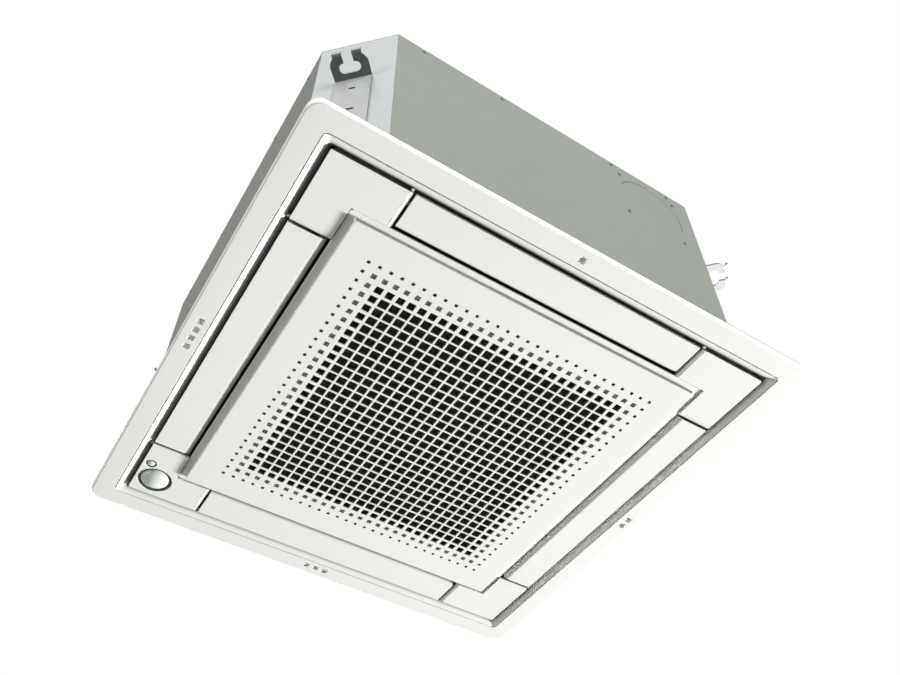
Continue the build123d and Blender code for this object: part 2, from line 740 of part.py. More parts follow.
# ---------------------------------------------------------------- hangers
def hanger_bracket(name, angle):
    """A pressed steel bracket: flat on the cut corner, bent out over the rod."""
    face = diagonal
    level = hanger_flange_z
    slot_middle = rod_half_pitch * sqrt(2)
    tip = face + hanger_flange_length
    prong = hanger_half_width - 4.5
    mouth = hanger_slot_width / 2
    with BuildPart() as bracket:
        block((face, face + hanger_sheet), (-hanger_half_width, hanger_half_width),
              (hanger_foot_z, level + hanger_sheet))
        with BuildSketch(Plane.XY.offset(level)):
            with BuildLine():
                Line((face, -hanger_half_width), (face, hanger_half_width))
                Line((face, hanger_half_width), (face + 17, hanger_half_width + 0.5))
                ThreePointArc((face + 17, hanger_half_width + 0.5),
                              (face + 24, hanger_half_width - 1.2), (tip, prong))
                Line((tip, prong), (tip, -prong))
                ThreePointArc((tip, -prong), (face + 24, -hanger_half_width + 1.2),
                              (face + 17, -hanger_half_width - 0.5))
                Line((face + 17, -hanger_half_width - 0.5), (face, -hanger_half_width))
            make_face()
            with Locations((slot_middle, 0)):
                SlotOverall(hanger_slot_length, hanger_slot_width - 0.01, rotation=90, mode=Mode.SUBTRACT)
            with Locations(((slot_middle + tip) / 2 + 5, 0)):
                Rectangle(tip - slot_middle + 10, 2 * mouth, mode=Mode.SUBTRACT)
        extrude(amount=hanger_sheet)
        for side in (-1, 1):
            block((tip - 1, tip + 5), (side * mouth, side * prong), (level, level + hanger_sheet))
            block((tip + 5 - hanger_sheet, tip + 5), (side * mouth, side * prong),
                  (level, level + hanger_lip_height))
        bends = bracket.edges().filter_by(Axis.Y).filter_by_position(Axis.X, tip + 4.9, tip + 5.1)
        fillet(bends.filter_by_position(Axis.Z, level - 0.1, level + 0.1), 2 * hanger_sheet - 0.3)
        for z, size in ((170, 8), (120, 11)):
            with BuildSketch(Plane.YZ.offset(face)):
                with Locations((0, z)):
                    SlotOverall(size, 4)
            extrude(amount=hanger_sheet, mode=Mode.SUBTRACT)
    save(bracket, name, angle + 45)


for corner_name, corner_angle in CORNERS.items():
    hanger_bracket(f"hanger_{corner_name}", corner_angle)

with BuildPart() as casing_screws:
    front = Plane.XZ.offset(body_half)
    low_x, mid_z = knockout_place
    spots = [(x, body_top - 8) for x in edge_screws]
    spots += [(low_x + i * knockout_screw_pitch / 2, mid_z + j * knockout_screw_pitch / 2)
              for i in (-1, 1) for j in (-1, 1)]
    for place in spots:
        with BuildSketch(front):
            with Locations(place):
                Circle(2.0)
        extrude(amount=0.9)
    for angle in (0, 90, 180):
        plane = Plane.YZ.rotated((0, 0, angle)).offset(body_half)
        for t in edge_screws:
            with BuildSketch(plane):
                with Locations((t, body_top - 8)):
                    Circle(2.0)
            extrude(amount=0.9)
save(casing_screws, "casing_screws")

with BuildPart() as panel_screws:
    for x in (-panel_screw_half, panel_screw_half):
        for y in (-panel_screw_half, panel_screw_half):
            rod((x, y), panel_screw_radius - 0.1, deck_height, body_bottom + 11)
            rod((x, y), panel_screw_radius + 2.4, deck_height - 4, deck_height)
save(panel_screws, "panel_screws")

# ---------------------------------------------------------------- drain pan
with BuildPart() as drain_pan:
    body_prism(body_half - pan_wall_half, body_bottom, pan_top)
    body_prism(sheet + fit_gap, body_bottom + sheet, body_bottom + sheet + pan_ledge_height)
    square_prism(pan_opening_half, 30, body_bottom, pan_top, mode=Mode.SUBTRACT)
    for angle in SIDES.values():
        with BuildSketch(Plane.XY.rotated((0, 0, angle)).offset(body_bottom)):
            with Locations(((duct_inner_half + duct_outer_half) / 2, 0)):
                RectangleRounded(duct_outer_half - duct_inner_half, 2 * duct_half_length, 6)
        extrude(amount=pan_top - body_bottom, mode=Mode.SUBTRACT)
    with BuildSketch(Plane.XY.offset(trough_floor)):
        RectangleRounded(2 * trough_outer_half, 2 * trough_outer_half, coil_radius + 4)
        RectangleRounded(2 * trough_inner_half, 2 * trough_inner_half, 30, mode=Mode.SUBTRACT)
    extrude(amount=pan_top - trough_floor, mode=Mode.SUBTRACT)
    rod(pump_place, pump_radius + 4, sump_floor, pan_top, mode=Mode.SUBTRACT)
    rod(float_place, float_radius + 3, sump_floor, pan_top, mode=Mode.SUBTRACT)
    with BuildSketch(Plane.XY.offset(sump_floor + 4)):
        with BuildLine():
            Polyline((trough_inner_half + 8, -(trough_inner_half + 18)),
                     (trough_inner_half + 22, -(trough_inner_half + 4)),
                     float_place, pump_place, close=True)
        make_face()
    extrude(amount=pan_top - sump_floor - 4, mode=Mode.SUBTRACT)
    for x in (-1, 1):
        for y in (-1, 1):
            rod((x * panel_screw_half, y * panel_screw_half), panel_screw_radius - 0.1,
                body_bottom, body_bottom + 11, mode=Mode.SUBTRACT)
save(drain_pan, "drain_pan")

# ---------------------------------------------------------------- heat exchanger
coil_low = trough_floor + fit_gap
coil_high = insulation_low - fit_gap
coil_inner_half = coil_outer_half - coil_thickness
with BuildPart() as coil_fins:
    with BuildSketch(Plane.XY.offset(coil_low)):
        RectangleRounded(2 * coil_outer_half, 2 * coil_outer_half, coil_radius)
        RectangleRounded(2 * coil_inner_half, 2 * coil_inner_half, coil_radius - coil_thickness,
                         mode=Mode.SUBTRACT)
        Polygon(*rounded_corner_points(coil_end, coil_outer_half + 5), align=None, mode=Mode.SUBTRACT)
    extrude(amount=coil_high - coil_low)
save(coil_fins, "coil_fin_pack")

plate_t = 1.5
with BuildPart() as coil_end_plates:
    block((coil_inner_half, coil_outer_half), (coil_end, coil_end + plate_t), (coil_low, coil_high))
    block((coil_end, coil_end + plate_t), (coil_inner_half, coil_outer_half), (coil_low, coil_high))
save(coil_end_plates, "coil_end_plates")

tube_radius = 3.5
bend_radius = 10.5
outer_row = coil_outer_half - 8
inner_row = coil_inner_half + 8
tube_levels = [coil_low + 20 + 42 * i for i in range(5)]
with BuildPart() as coil_bends:
    for z in tube_levels:
        middle = (outer_row, coil_end + plate_t, z)
        with BuildSketch(Plane(origin=middle, x_dir=(1, 0, 0), z_dir=(0, -1, 0))):
            with Locations((0, bend_radius)):
                Circle(tube_radius)
        revolve(axis=Axis(middle, (-1, 0, 0)), revolution_arc=180)
save(coil_bends, "coil_return_bends")

header_y = liquid_place[0]
with BuildPart() as liquid_header:
    rod((inner_row, header_y), 5, coil_low + 10, coil_low + 200)
    for z in tube_levels:
        rod_along_y(inner_row, z, tube_radius - 0.5, coil_end + plate_t, header_y)
    rod_along_x(*liquid_place, liquid_radius, inner_row, pipe_end - thread_length - 5)
save(liquid_header, "liquid_pipe")

gas_x = coil_end + plate_t + 14
with BuildPart() as gas_header:
    rod((gas_x, gas_place[0]), 8, coil_low + 10, coil_low + 200)
    for z in tube_levels:
        rod_along_x(gas_place[0], z, tube_radius, coil_end + plate_t, gas_x)
    rod_along_x(*gas_place, gas_radius, gas_x, pipe_end - thread_length - 5)
save(gas_header, "gas_pipe")

with BuildPart() as flare_unions:
    thread_start = pipe_end - thread_length
    for place, pipe, thread in ((gas_place, gas_radius, gas_thread_radius),
                                (liquid_place, liquid_radius, liquid_thread_radius)):
        hex_along_x(*place, 2 * thread + 4, pipe_end - union_length, thread_start)
        rod_along_x(*place, thread, thread_start, pipe_end)
        rod_along_x(*place, pipe, pipe_end - union_length, thread_start - 5, mode=Mode.SUBTRACT)
        rod_along_x(*place, pipe - 1, thread_start - 6, pipe_end, mode=Mode.SUBTRACT)
save(flare_unions, "flare_unions")

with BuildPart() as pipe_plate:
    block((body_half, body_half + sheet), (liquid_place[0] - 18, gas_place[0] + 16),
          (gas_place[1] - 25, liquid_place[1] + 20))
    rod_along_x(*gas_place, gas_radius, body_half - 1, body_half + 3, mode=Mode.SUBTRACT)
    rod_along_x(*liquid_place, liquid_radius, body_half - 1, body_half + 3, mode=Mode.SUBTRACT)
save(pipe_plate, "pipe_plate")

# ---------------------------------------------------------------- drain pump and float
hose_low = pump_body_high - 18
hose_start = pump_place[0] + pump_radius + 6
hose_x = hose_start + 9
with BuildPart() as drain_pump:
    rod(pump_place, pump_radius, pump_body_low, pump_body_high)
    rod(pump_place, pump_radius - 4, pump_body_high, pump_body_high + pump_motor_height)
    rod(pump_place, 8, sump_floor + fit_gap, pump_body_low)
    rod(pump_place, 5, sump_floor, pump_body_low + 4, mode=Mode.SUBTRACT)
    rod(pump_place, pump_radius - 4, pump_body_low + 2, pump_body_low + 34, mode=Mode.SUBTRACT)
    rod(pump_place, pump_shaft_radius + running_gap, pump_body_low + 34, pump_body_high - 4,
        mode=Mode.SUBTRACT)
    rod_along_x(pump_place[1], hose_low, hose_radius, pump_place[0] + pump_radius - 5, hose_start)
save(drain_pump, "drain_pump")

with BuildPart() as pump_impeller:
    rod(pump_place, pump_shaft_radius, pump_body_low + 6, pump_body_high - 6)
    rod(pump_place, pump_radius - 7, pump_body_low + 18, pump_body_low + 20)
    for turn in (0, 45, 90, 135):
        with BuildSketch(Plane.XY.offset(pump_body_low + 6)):
            with Locations(Location((*pump_place, 0), (0, 0, turn))):
                Rectangle(2 * pump_radius - 14, 1.5)
        extrude(amount=12)
save(pump_impeller, "pump_impeller")

with BuildPart() as drain_hose:
    with BuildLine() as hose_path:
        FilletPolyline((hose_start, pump_place[1], hose_low),
                       (hose_x, pump_place[1], hose_low),
                       (hose_x, pump_place[1], drain_place[1]),
                       (hose_x, drain_place[0], drain_place[1]),
                       (body_half - 14, drain_place[0], drain_place[1]), radius=8)
    with BuildSketch(Plane(origin=hose_path.line @ 0, z_dir=hose_path.line % 0)):
        Circle(hose_radius)
    sweep()
save(drain_hose, "drain_hose")

with BuildPart() as drain_socket:
    rod_along_x(*drain_place, drain_radius, body_half - 14, body_half + 48)
    rod_along_x(*drain_place, drain_radius + 5, body_half, body_half + 2.5)
    rod_along_x(*drain_place, drain_radius - 3, body_half - 12, body_half + 60, mode=Mode.SUBTRACT)
save(drain_socket, "drain_socket")

float_head = pan_top + 28
with BuildPart() as float_switch:
    rod(float_place, 8, sump_floor + fit_gap, sump_floor + 4)
    rod(float_place, float_stem_radius, sump_floor + 4, float_head)
    block((float_place[0] - 9, float_place[0] + 9), (float_place[1] - 9, float_place[1] + 9),
          (float_head, float_head + 14))
save(float_switch, "float_switch")

shelf = diagonal - liner_inset - 2.2
with BuildPart() as pump_bracket:
    with BuildSketch(Plane.XY.offset(pan_top)):
        with Locations(Location((0, 0, 0), (0, 0, -45))):
            Polygon((shelf - 57, -34), (shelf, -34), (shelf, 40), (shelf - 57, 40), align=None)
        with Locations(pump_place):
            Circle(pump_radius, mode=Mode.SUBTRACT)
        with Locations(float_place):
            Circle(float_stem_radius, mode=Mode.SUBTRACT)
    extrude(amount=1.5)
save(pump_bracket, "pump_bracket")

with BuildPart() as float_ring:
    rod(float_place, float_radius, sump_floor + 4 + fit_gap, sump_floor + 4 + fit_gap + float_height)
    rod(float_place, float_stem_radius + running_gap, sump_floor, pan_top, mode=Mode.SUBTRACT)
save(float_ring, "float_ring")

# ---------------------------------------------------------------- fan and motor
bell_neck = bell_top - 16
bell_bend = (2 * throat_radius + bell_radius) / 3 - 1.167
with BuildPart() as bell_mouth:
    square_prism(bell_plate_half, 20, body_bottom - 2, body_bottom)
    rod((0, 0), bell_radius, body_bottom - 2, body_bottom, mode=Mode.SUBTRACT)
    with BuildSketch(Plane.XZ):
        with BuildLine():
            Line((bell_radius, body_bottom - 2), (bell_radius + 2, body_bottom))
            ThreePointArc((bell_radius + 2, body_bottom), (bell_bend + 2.5, body_bottom + 20),
                          (throat_radius + bell_wall, bell_neck))
            Line((throat_radius + bell_wall, bell_neck), (throat_radius + bell_wall, bell_top))
            Line((throat_radius + bell_wall, bell_top), (throat_radius, bell_top))
            Line((throat_radius, bell_top), (throat_radius, bell_neck))
            ThreePointArc((throat_radius, bell_neck), (bell_bend, body_bottom + 18),
                          (bell_radius, body_bottom - 2))
        make_face()
    revolve(axis=Axis.Z)
save(bell_mouth, "bell_mouth")


def blade_outline():
    """One backward-curved blade as two arcs between the inlet and the rim."""
    root = throat_radius - 11
    with BuildSketch() as outline:
        with BuildLine():
            ThreePointArc((root, 0), (root + 29, 36), (root + 44, 64))
            Line((root + 44, 64), (root + 47, 61))
            ThreePointArc((root + 47, 61), (root + 34, 31), (root, 0))
        make_face()
    return outline.sketch


blade = blade_outline()
lip = throat_radius + bell_wall + 4.5     # the fan's inlet runs round the bell mouth
with BuildPart() as turbo_fan:
    rod((0, 0), fan_radius, fan_high - fan_plate, fan_high)
    rod((0, 0), hub_radius, fan_high - 24, fan_high)
    with BuildSketch(Plane.XZ):
        with BuildLine():
            Polyline((lip, fan_low), (lip + 2.5, fan_low), (lip + 4, fan_low + 6),
                     (lip + 10, fan_low + 12), (fan_radius, blade_low + 1.5),
                     (fan_radius, blade_low + 4.5), (lip + 9, fan_low + 15), (lip + 1.5, fan_low + 8),
                     close=True)
        make_face()
    revolve(axis=Axis.Z)
    with BuildSketch(Plane.XY.offset(blade_low)):
        with PolarLocations(0, blade_count):
            add(blade)
    extrude(amount=fan_high - fan_plate - blade_low)
    rod((0, 0), fan_shaft_radius, fan_high - 30, fan_high, mode=Mode.SUBTRACT)
save(turbo_fan, "turbo_fan")

with BuildPart() as fan_shaft:
    rod((0, 0), fan_shaft_radius, fan_high - 38, fan_motor_low + 14)
save(fan_shaft, "fan_shaft")

with BuildPart() as fan_nut:
    with BuildSketch(Plane.XY.offset(fan_high - 35)):
        RegularPolygon(17 / sqrt(3), 6)
        Circle(fan_shaft_radius, mode=Mode.SUBTRACT)
    extrude(amount=8)
    rod((0, 0), 12, fan_high - 27, fan_high - 24)
    rod((0, 0), fan_shaft_radius, fan_high - 27, fan_high - 24, mode=Mode.SUBTRACT)
save(fan_nut, "fan_flange_nut")

ear_t = 4.0
with BuildPart() as fan_motor:
    rod((0, 0), fan_motor_radius, fan_motor_low, fan_motor_high)
    fillet(fan_motor.edges().group_by(Axis.Z)[0], 6)
    rod((0, 0), 12, fan_motor_low - 6, fan_motor_low)
    with BuildSketch(Plane.XY.offset(fan_motor_high - ear_t)):
        with PolarLocations(motor_bolt_circle, 3):
            Circle(11)
        with PolarLocations(motor_bolt_circle - 12, 3):
            Rectangle(24, 20)
    extrude(amount=ear_t)
    with BuildSketch(Plane.XY.offset(fan_motor_high - ear_t)):
        with PolarLocations(motor_bolt_circle, 3):
            Circle(motor_bolt_radius)
    extrude(amount=ear_t, mode=Mode.SUBTRACT)
    rod((0, 0), fan_shaft_radius + running_gap, fan_motor_low - 6, fan_motor_low + 15, Mode.SUBTRACT)
save(fan_motor, "fan_motor")

with BuildPart() as motor_bushes:
    with BuildSketch(Plane.XY.offset(fan_motor_high)):
        with PolarLocations(motor_bolt_circle, 3):
            Circle(3 * motor_bolt_radius)
            Circle(motor_bolt_radius, mode=Mode.SUBTRACT)
    extrude(amount=body_top - sheet - fan_motor_high)
save(motor_bushes, "motor_bushes")

with BuildPart() as motor_bolts:
    with BuildSketch(Plane.XY.offset(fan_motor_high - ear_t - 8)):
        with PolarLocations(motor_bolt_circle, 3):
            Circle(motor_bolt_radius)
    extrude(amount=body_top - sheet - fan_motor_high + ear_t + 8)
    with BuildSketch(Plane.XY.offset(fan_motor_high - ear_t - 5)):
        with PolarLocations(motor_bolt_circle, 3):
            RegularPolygon(10 / sqrt(3), 6)
    extrude(amount=5)
save(motor_bolts, "motor_bolts")

# ---------------------------------------------------------------- control box
box_top = body_bottom - 2
with BuildPart() as control_box:
    block(box_x, (-box_half_length, box_half_length), (box_low, box_top))
    block((box_x[0] + box_sheet, box_x[1] - box_sheet),
          (box_sheet - box_half_length, box_half_length - box_sheet),
          (box_low, box_top - box_sheet), mode=Mode.SUBTRACT)
save(control_box, "control_box")

with BuildPart() as control_box_cover:
    block(box_x, (-box_half_length, box_half_length), (box_low - box_sheet, box_low))
save(control_box_cover, "control_box_cover")

middle_x = sum(box_x) / 2
board_start = 15 - box_half_length
block_end = box_half_length - 11
with BuildPart() as circuit_board:
    block((middle_x - 21, middle_x + 21), (board_start, board_start + 200), (box_top - 6.6, box_top - 5))
    for x in (-17, 17):
        for y in (board_start + 4, board_start + 196):
            rod((middle_x + x, y), 2.5, box_top - 5, box_top - box_sheet)
    low = box_top - 6.6
    for y, size in ((20, 9), (44, 9), (150, 6), (168, 6)):
        rod((middle_x - 8, board_start + y), size, low - 12, low)
    for x_range, y_range, height in (((-5, 17), (65, 95), 8), ((-18, 2), (105, 135), 5),
                                     ((6, 18), (145, 190), 9)):
        block((middle_x + x_range[0], middle_x + x_range[1]),
              (board_start + y_range[0], board_start + y_range[1]), (low - height, low))
save(circuit_board, "circuit_board")

with BuildPart() as terminal_block:
    block((middle_x - 16, middle_x + 16), (block_end - 48, block_end), (box_top - 15, box_top - box_sheet))
    with BuildSketch(Plane.XY.offset(box_top - 15)):
        with Locations((middle_x, block_end - 24)):
            with GridLocations(12, 9, 2, 5):
                Circle(2.5)
    extrude(amount=4, mode=Mode.SUBTRACT)
save(terminal_block, "terminal_block")

with BuildPart() as air_sensor:
    start = 4 - bell_plate_half
    block((-6, 6), (start, start + 12), (body_bottom - 8, body_bottom - 2))
    rod((0, start + 6), 2.5, body_bottom - 18, body_bottom - 8)
save(air_sensor, "air_temperature_sensor")

with BuildPart() as cable_grommets:
    for place in cable_places:
        rod_along_x(*place, grommet_radius + 3, body_half, body_half + 3)
        rod_along_x(*place, grommet_radius, body_half - 4, body_half)
        rod_along_x(*place, grommet_radius - 4, body_half - 5, body_half + 4, mode=Mode.SUBTRACT)
save(cable_grommets, "cable_grommets")
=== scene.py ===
from math import pi, radians, sqrt

import bpy
from mathutils import Matrix, Vector


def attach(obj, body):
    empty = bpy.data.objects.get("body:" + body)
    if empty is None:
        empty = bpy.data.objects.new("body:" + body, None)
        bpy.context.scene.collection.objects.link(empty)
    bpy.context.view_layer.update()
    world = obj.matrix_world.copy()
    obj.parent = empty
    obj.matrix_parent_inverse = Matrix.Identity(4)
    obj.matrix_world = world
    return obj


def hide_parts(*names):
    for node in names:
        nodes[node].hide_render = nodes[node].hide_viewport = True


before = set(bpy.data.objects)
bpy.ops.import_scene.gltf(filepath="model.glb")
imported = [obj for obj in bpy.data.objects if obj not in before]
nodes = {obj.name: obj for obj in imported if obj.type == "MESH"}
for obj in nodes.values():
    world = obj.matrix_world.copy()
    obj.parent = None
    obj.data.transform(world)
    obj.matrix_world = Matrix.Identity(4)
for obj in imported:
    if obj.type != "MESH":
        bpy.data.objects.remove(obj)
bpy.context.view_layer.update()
mm = 0.001


# ---- Studio
# The unit hangs in a white studio and is seen from below, as it would be on a ceiling. The
# key lamp stands low on the right and grazes the face; softer lamps light the front, the back
# and the left side. A pale floor lies far under it.
def add_lamp(name, place, target, size, watts, spread):
    """A soft square lamp that points at a target, with its light kept in a cone."""
    lamp = bpy.data.lights.new(name, "AREA")
    lamp.size = size
    lamp.energy = watts
    lamp.spread = radians(spread)
    holder = bpy.data.objects.new(name, lamp)
    bpy.context.scene.collection.objects.link(holder)
    holder.location = place
    holder.rotation_mode = "QUATERNION"
    aim = Vector(target) - Vector(place)
    holder.rotation_quaternion = aim.to_track_quat("-Z", "Y")


def background_rays(tree):
    """A socket that is 1 for the rays that show the background: camera, glossy, transmission."""
    path = tree.nodes.new("ShaderNodeLightPath")
    shown = path.outputs["Is Camera Ray"]
    for kind in ("Is Glossy Ray", "Is Transmission Ray"):
        either = tree.nodes.new("ShaderNodeMath")
        either.operation = "MAXIMUM"
        tree.links.new(shown, either.inputs[0])
        tree.links.new(path.outputs[kind], either.inputs[1])
        shown = either.outputs[0]
    return shown


camera_place = (-0.4059, -0.6802, -0.7969)
camera_right = Vector((0.84804, -0.52993, -0.0016))
camera_down = Vector((0.39823, 0.63927, -0.65783))
camera_ahead = Vector((0.34963, 0.55723, 0.75316))
lens = bpy.data.cameras.new("camera")
lens.sensor_width = 36
lens.lens = 37.752
lens.shift_x = 0.00668
lens.shift_y = 0.03743
lens.clip_start = 0.02
lens.clip_end = 60
camera = bpy.data.objects.new("camera", lens)
bpy.context.scene.collection.objects.link(camera)
turn = Matrix((camera_right, -camera_down, -camera_ahead)).transposed().to_4x4()
camera.matrix_world = Matrix.Translation(camera_place) @ turn
bpy.context.scene.camera = camera
bpy.context.scene.view_settings.view_transform = "Standard"

add_lamp("key_lamp", place=(5.77, 0.1, -1.44), target=(0, 0, 0), size=0.7, watts=120, spread=60)
add_lamp("front_lamp", place=(-0.3, -3.0, 0.45), target=(0, 0, 0.1), size=1.6, watts=28, spread=90)
add_lamp("back_lamp", place=(0.3, 3.2, 1.9), target=(0, 0, 0.15), size=1.6, watts=34, spread=60)
add_lamp("left_lamp", place=(-3.2, -0.3, -0.8), target=(0, 0, 0), size=1.5, watts=13, spread=90)

ambient_strength = 0.17
world = bpy.data.worlds.new("studio")
bpy.context.scene.world = world
world.use_nodes = True
sky = world.node_tree
sky.nodes.clear()
plain = sky.nodes.new("ShaderNodeBackground")
white = sky.nodes.new("ShaderNodeBackground")
for layer, strength in ((plain, ambient_strength), (white, 1.0)):
    layer.inputs["Color"].default_value = (1, 1, 1, 1)
    layer.inputs["Strength"].default_value = strength
choose = sky.nodes.new("ShaderNodeMixShader")
surround = sky.nodes.new("ShaderNodeOutputWorld")
sky.links.new(background_rays(sky), choose.inputs[0])
sky.links.new(plain.outputs[0], choose.inputs[1])
sky.links.new(white.outputs[0], choose.inputs[2])
sky.links.new(choose.outputs[0], surround.inputs[0])

floor_size = 60
floor_level = -4.0
floor_tone = 0.64
floor_whiteness = 0.94        # the rest shows the lit paint, and with it the shadow
bpy.ops.object.select_all(action="DESELECT")
bpy.ops.mesh.primitive_plane_add(size=floor_size, location=(0, 0, floor_level))
floor = bpy.context.object
floor.name = "studio_floor"
floor_paint = bpy.data.materials.new("studio_floor")
floor_paint.use_nodes = True
floor_tree = floor_paint.node_tree
matt = floor_tree.nodes["Principled BSDF"]
matt.inputs["Base Color"].default_value = (floor_tone, floor_tone, floor_tone, 1)
matt.inputs["Roughness"].default_value = 0.9
share = floor_tree.nodes.new("ShaderNodeMath")
share.operation = "MULTIPLY"
share.inputs[1].default_value = floor_whiteness
white = floor_tree.nodes.new("ShaderNodeEmission")
white.inputs["Strength"].default_value = 1.0
choose = floor_tree.nodes.new("ShaderNodeMixShader")
floor_tree.links.new(background_rays(floor_tree), share.inputs[0])
floor_tree.links.new(share.outputs[0], choose.inputs[0])
floor_tree.links.new(matt.outputs[0], choose.inputs[1])
floor_tree.links.new(white.outputs[0], choose.inputs[2])
floor_tree.links.new(choose.outputs[0], floor_tree.nodes["Material Output"].inputs["Surface"])
floor.data.materials.append(floor_paint)


# ---- Side casing, top plate and pipe plate
# The body is a square of zinc-coated sheet with cut corners, open below, which hangs above the
# ceiling. The top plate is pressed with stiffening ribs and screwed on; a small plate closes
# the hole where the pipes come out.
def effect_group(name, inputs, outputs):
    """An empty shader node group with its sockets, and its in and out nodes."""
    group = bpy.data.node_groups.new(name, "ShaderNodeTree")
    for title, value in inputs:
        socket = group.interface.new_socket(title, in_out="INPUT", socket_type="NodeSocketFloat")
        socket.default_value = value
    for title in outputs:
        group.interface.new_socket(title, in_out="OUTPUT", socket_type="NodeSocketFloat")
    return group, group.nodes.new("NodeGroupInput"), group.nodes.new("NodeGroupOutput")


def noise_in(group, detail, roughness=0.5):
    node = group.nodes.new("ShaderNodeTexNoise")
    node.inputs["Detail"].default_value = detail
    node.inputs["Roughness"].default_value = roughness
    return node


sheeting, given, result = effect_group(
    "galvanised_surface", [("Spangle Scale", 110.0), ("Streak Scale", 60.0)],
    ["Spangle", "Streak", "Cloud"])
where = sheeting.nodes.new("ShaderNodeTexCoord")
cells = sheeting.nodes.new("ShaderNodeTexVoronoi")
tone = sheeting.nodes.new("ShaderNodeSeparateColor")
stretch = sheeting.nodes.new("ShaderNodeMapping")
stretch.inputs["Scale"].default_value = (1, 1, 30)
streak = noise_in(sheeting, 4.0, 0.6)
cloud = noise_in(sheeting, 4.0)
cloud.inputs["Scale"].default_value = 5
wire = sheeting.links.new
wire(where.outputs["Object"], cells.inputs["Vector"])
wire(where.outputs["Object"], stretch.inputs["Vector"])
wire(where.outputs["Object"], cloud.inputs["Vector"])
wire(stretch.outputs[0], streak.inputs["Vector"])
wire(given.outputs["Spangle Scale"], cells.inputs["Scale"])
wire(given.outputs["Streak Scale"], streak.inputs["Scale"])
wire(cells.outputs["Color"], tone.inputs[0])
wire(tone.outputs[0], result.inputs["Spangle"])
wire(streak.outputs[0], result.inputs["Streak"])
wire(cloud.outputs[0], result.inputs["Cloud"])


def set_polish(tree, driver, surface, roughness, change):
    """Let the roughness vary a little with a pattern."""
    polish = tree.nodes.new("ShaderNodeMapRange")
    polish.inputs["To Min"].default_value = roughness - change
    polish.inputs["To Max"].default_value = roughness + change
    tree.links.new(driver, polish.inputs["Value"])
    tree.links.new(polish.outputs[0], surface.inputs["Roughness"])


def set_bump(tree, driver, surface, strength, depth):
    """Let a pattern raise the surface by a depth in millimetres."""
    bump = tree.nodes.new("ShaderNodeBump")
    bump.inputs["Strength"].default_value = strength
    bump.inputs["Distance"].default_value = depth * mm
    tree.links.new(driver, bump.inputs["Height"])
    tree.links.new(bump.outputs[0], surface.inputs["Normal"])


def set_tones(tree, driver, surface, first, second):
    """Mix two colours by a pattern."""
    tones = tree.nodes.new("ShaderNodeMix")
    tones.data_type = "RGBA"
    tones.inputs[6].default_value = (*first, 1)
    tones.inputs[7].default_value = (*second, 1)
    tree.links.new(driver, tones.inputs[0])
    tree.links.new(tones.outputs[2], surface.inputs["Base Color"])


def sheet_metal(name, dark, light, roughness, metallic, spangle=0.35, streak_scale=60.0,
                glint=0.5):
    """Zinc-coated sheet: random crystal facets, fine streaks and a soft cloud of tarnish."""
    material = bpy.data.materials.new(name)
    material.use_nodes = True
    tree = material.node_tree
    surface = tree.nodes["Principled BSDF"]
    effect = tree.nodes.new("ShaderNodeGroup")
    effect.node_tree = bpy.data.node_groups["galvanised_surface"]
    effect.inputs["Streak Scale"].default_value = streak_scale
    facets = tree.nodes.new("ShaderNodeMix")
    facets.inputs[0].default_value = spangle
    tree.links.new(effect.outputs["Streak"], facets.inputs[2])
    tree.links.new(effect.outputs["Spangle"], facets.inputs[3])
    tarnish = tree.nodes.new("ShaderNodeMix")
    tarnish.inputs[0].default_value = 0.35
    tree.links.new(facets.outputs[0], tarnish.inputs[2])
    tree.links.new(effect.outputs["Cloud"], tarnish.inputs[3])
    set_tones(tree, tarnish.outputs[0], surface, dark, light)
    set_polish(tree, facets.outputs[0], surface, roughness, 0.08)
    set_bump(tree, effect.outputs["Streak"], surface, 0.3, 0.01)
    surface.inputs["Metallic"].default_value = metallic
    surface.inputs["Specular IOR Level"].default_value = glint
    return material


def only(piece):
    """Select one piece alone and make it the active one."""
    bpy.ops.object.select_all(action="DESELECT")
    piece.select_set(True)
    bpy.context.view_layer.objects.active = piece


def close_mesh():
    bpy.ops.object.mode_set(mode="OBJECT")


def tidy(piece, name, angle=35, soften=0.0):
    """Merge doubles, turn normals outwards, round the sharp edges, and put the origin home."""
    only(piece)
    bpy.ops.object.transform_apply(location=True, rotation=True, scale=True)
    bpy.ops.object.mode_set(mode="EDIT")
    bpy.ops.mesh.select_all(action="SELECT")
    bpy.ops.mesh.remove_doubles(threshold=0.01 * mm)
    bpy.ops.mesh.normals_make_consistent(inside=False)
    close_mesh()
    if soften:
        edge = piece.modifiers.new("soft_edges", "BEVEL")
        edge.width = soften * mm
        edge.segments = 2
        edge.limit_method = "ANGLE"
        edge.angle_limit = radians(angle)
        edge.use_clamp_overlap = True
        bpy.ops.object.modifier_apply(modifier=edge.name)
    bpy.ops.object.shade_smooth_by_angle(angle=radians(angle))
    level = piece.modifiers.new("flat_faces_stay_flat", "WEIGHTED_NORMAL")
    level.keep_sharp = True
    bpy.ops.object.modifier_apply(modifier=level.name)
    piece.name = name
    piece.data.name = name
    return piece


def softened_copy(node_name, name, soften):
    """A solid's shape as a piece of its own, with doubles merged and edges broken."""
    source = nodes[node_name]
    piece = source.copy()
    piece.data = source.data.copy()
    piece.animation_data_clear()
    bpy.context.scene.collection.objects.link(piece)
    place = source.matrix_world.copy()
    piece.parent = None
    piece.matrix_world = place
    only(piece)
    bpy.ops.object.transform_apply(location=True, rotation=True, scale=True)
    bpy.ops.object.mode_set(mode="EDIT")
    bpy.ops.mesh.select_all(action="SELECT")
    bpy.ops.mesh.remove_doubles(threshold=0.01 * mm)
    bpy.ops.mesh.dissolve_limited(angle_limit=radians(1))
    close_mesh()
    return tidy(piece, name, angle=30, soften=soften)


def dress(piece, material):
    """Give a piece its material."""
    piece.data.materials.clear()
    piece.data.materials.append(material)


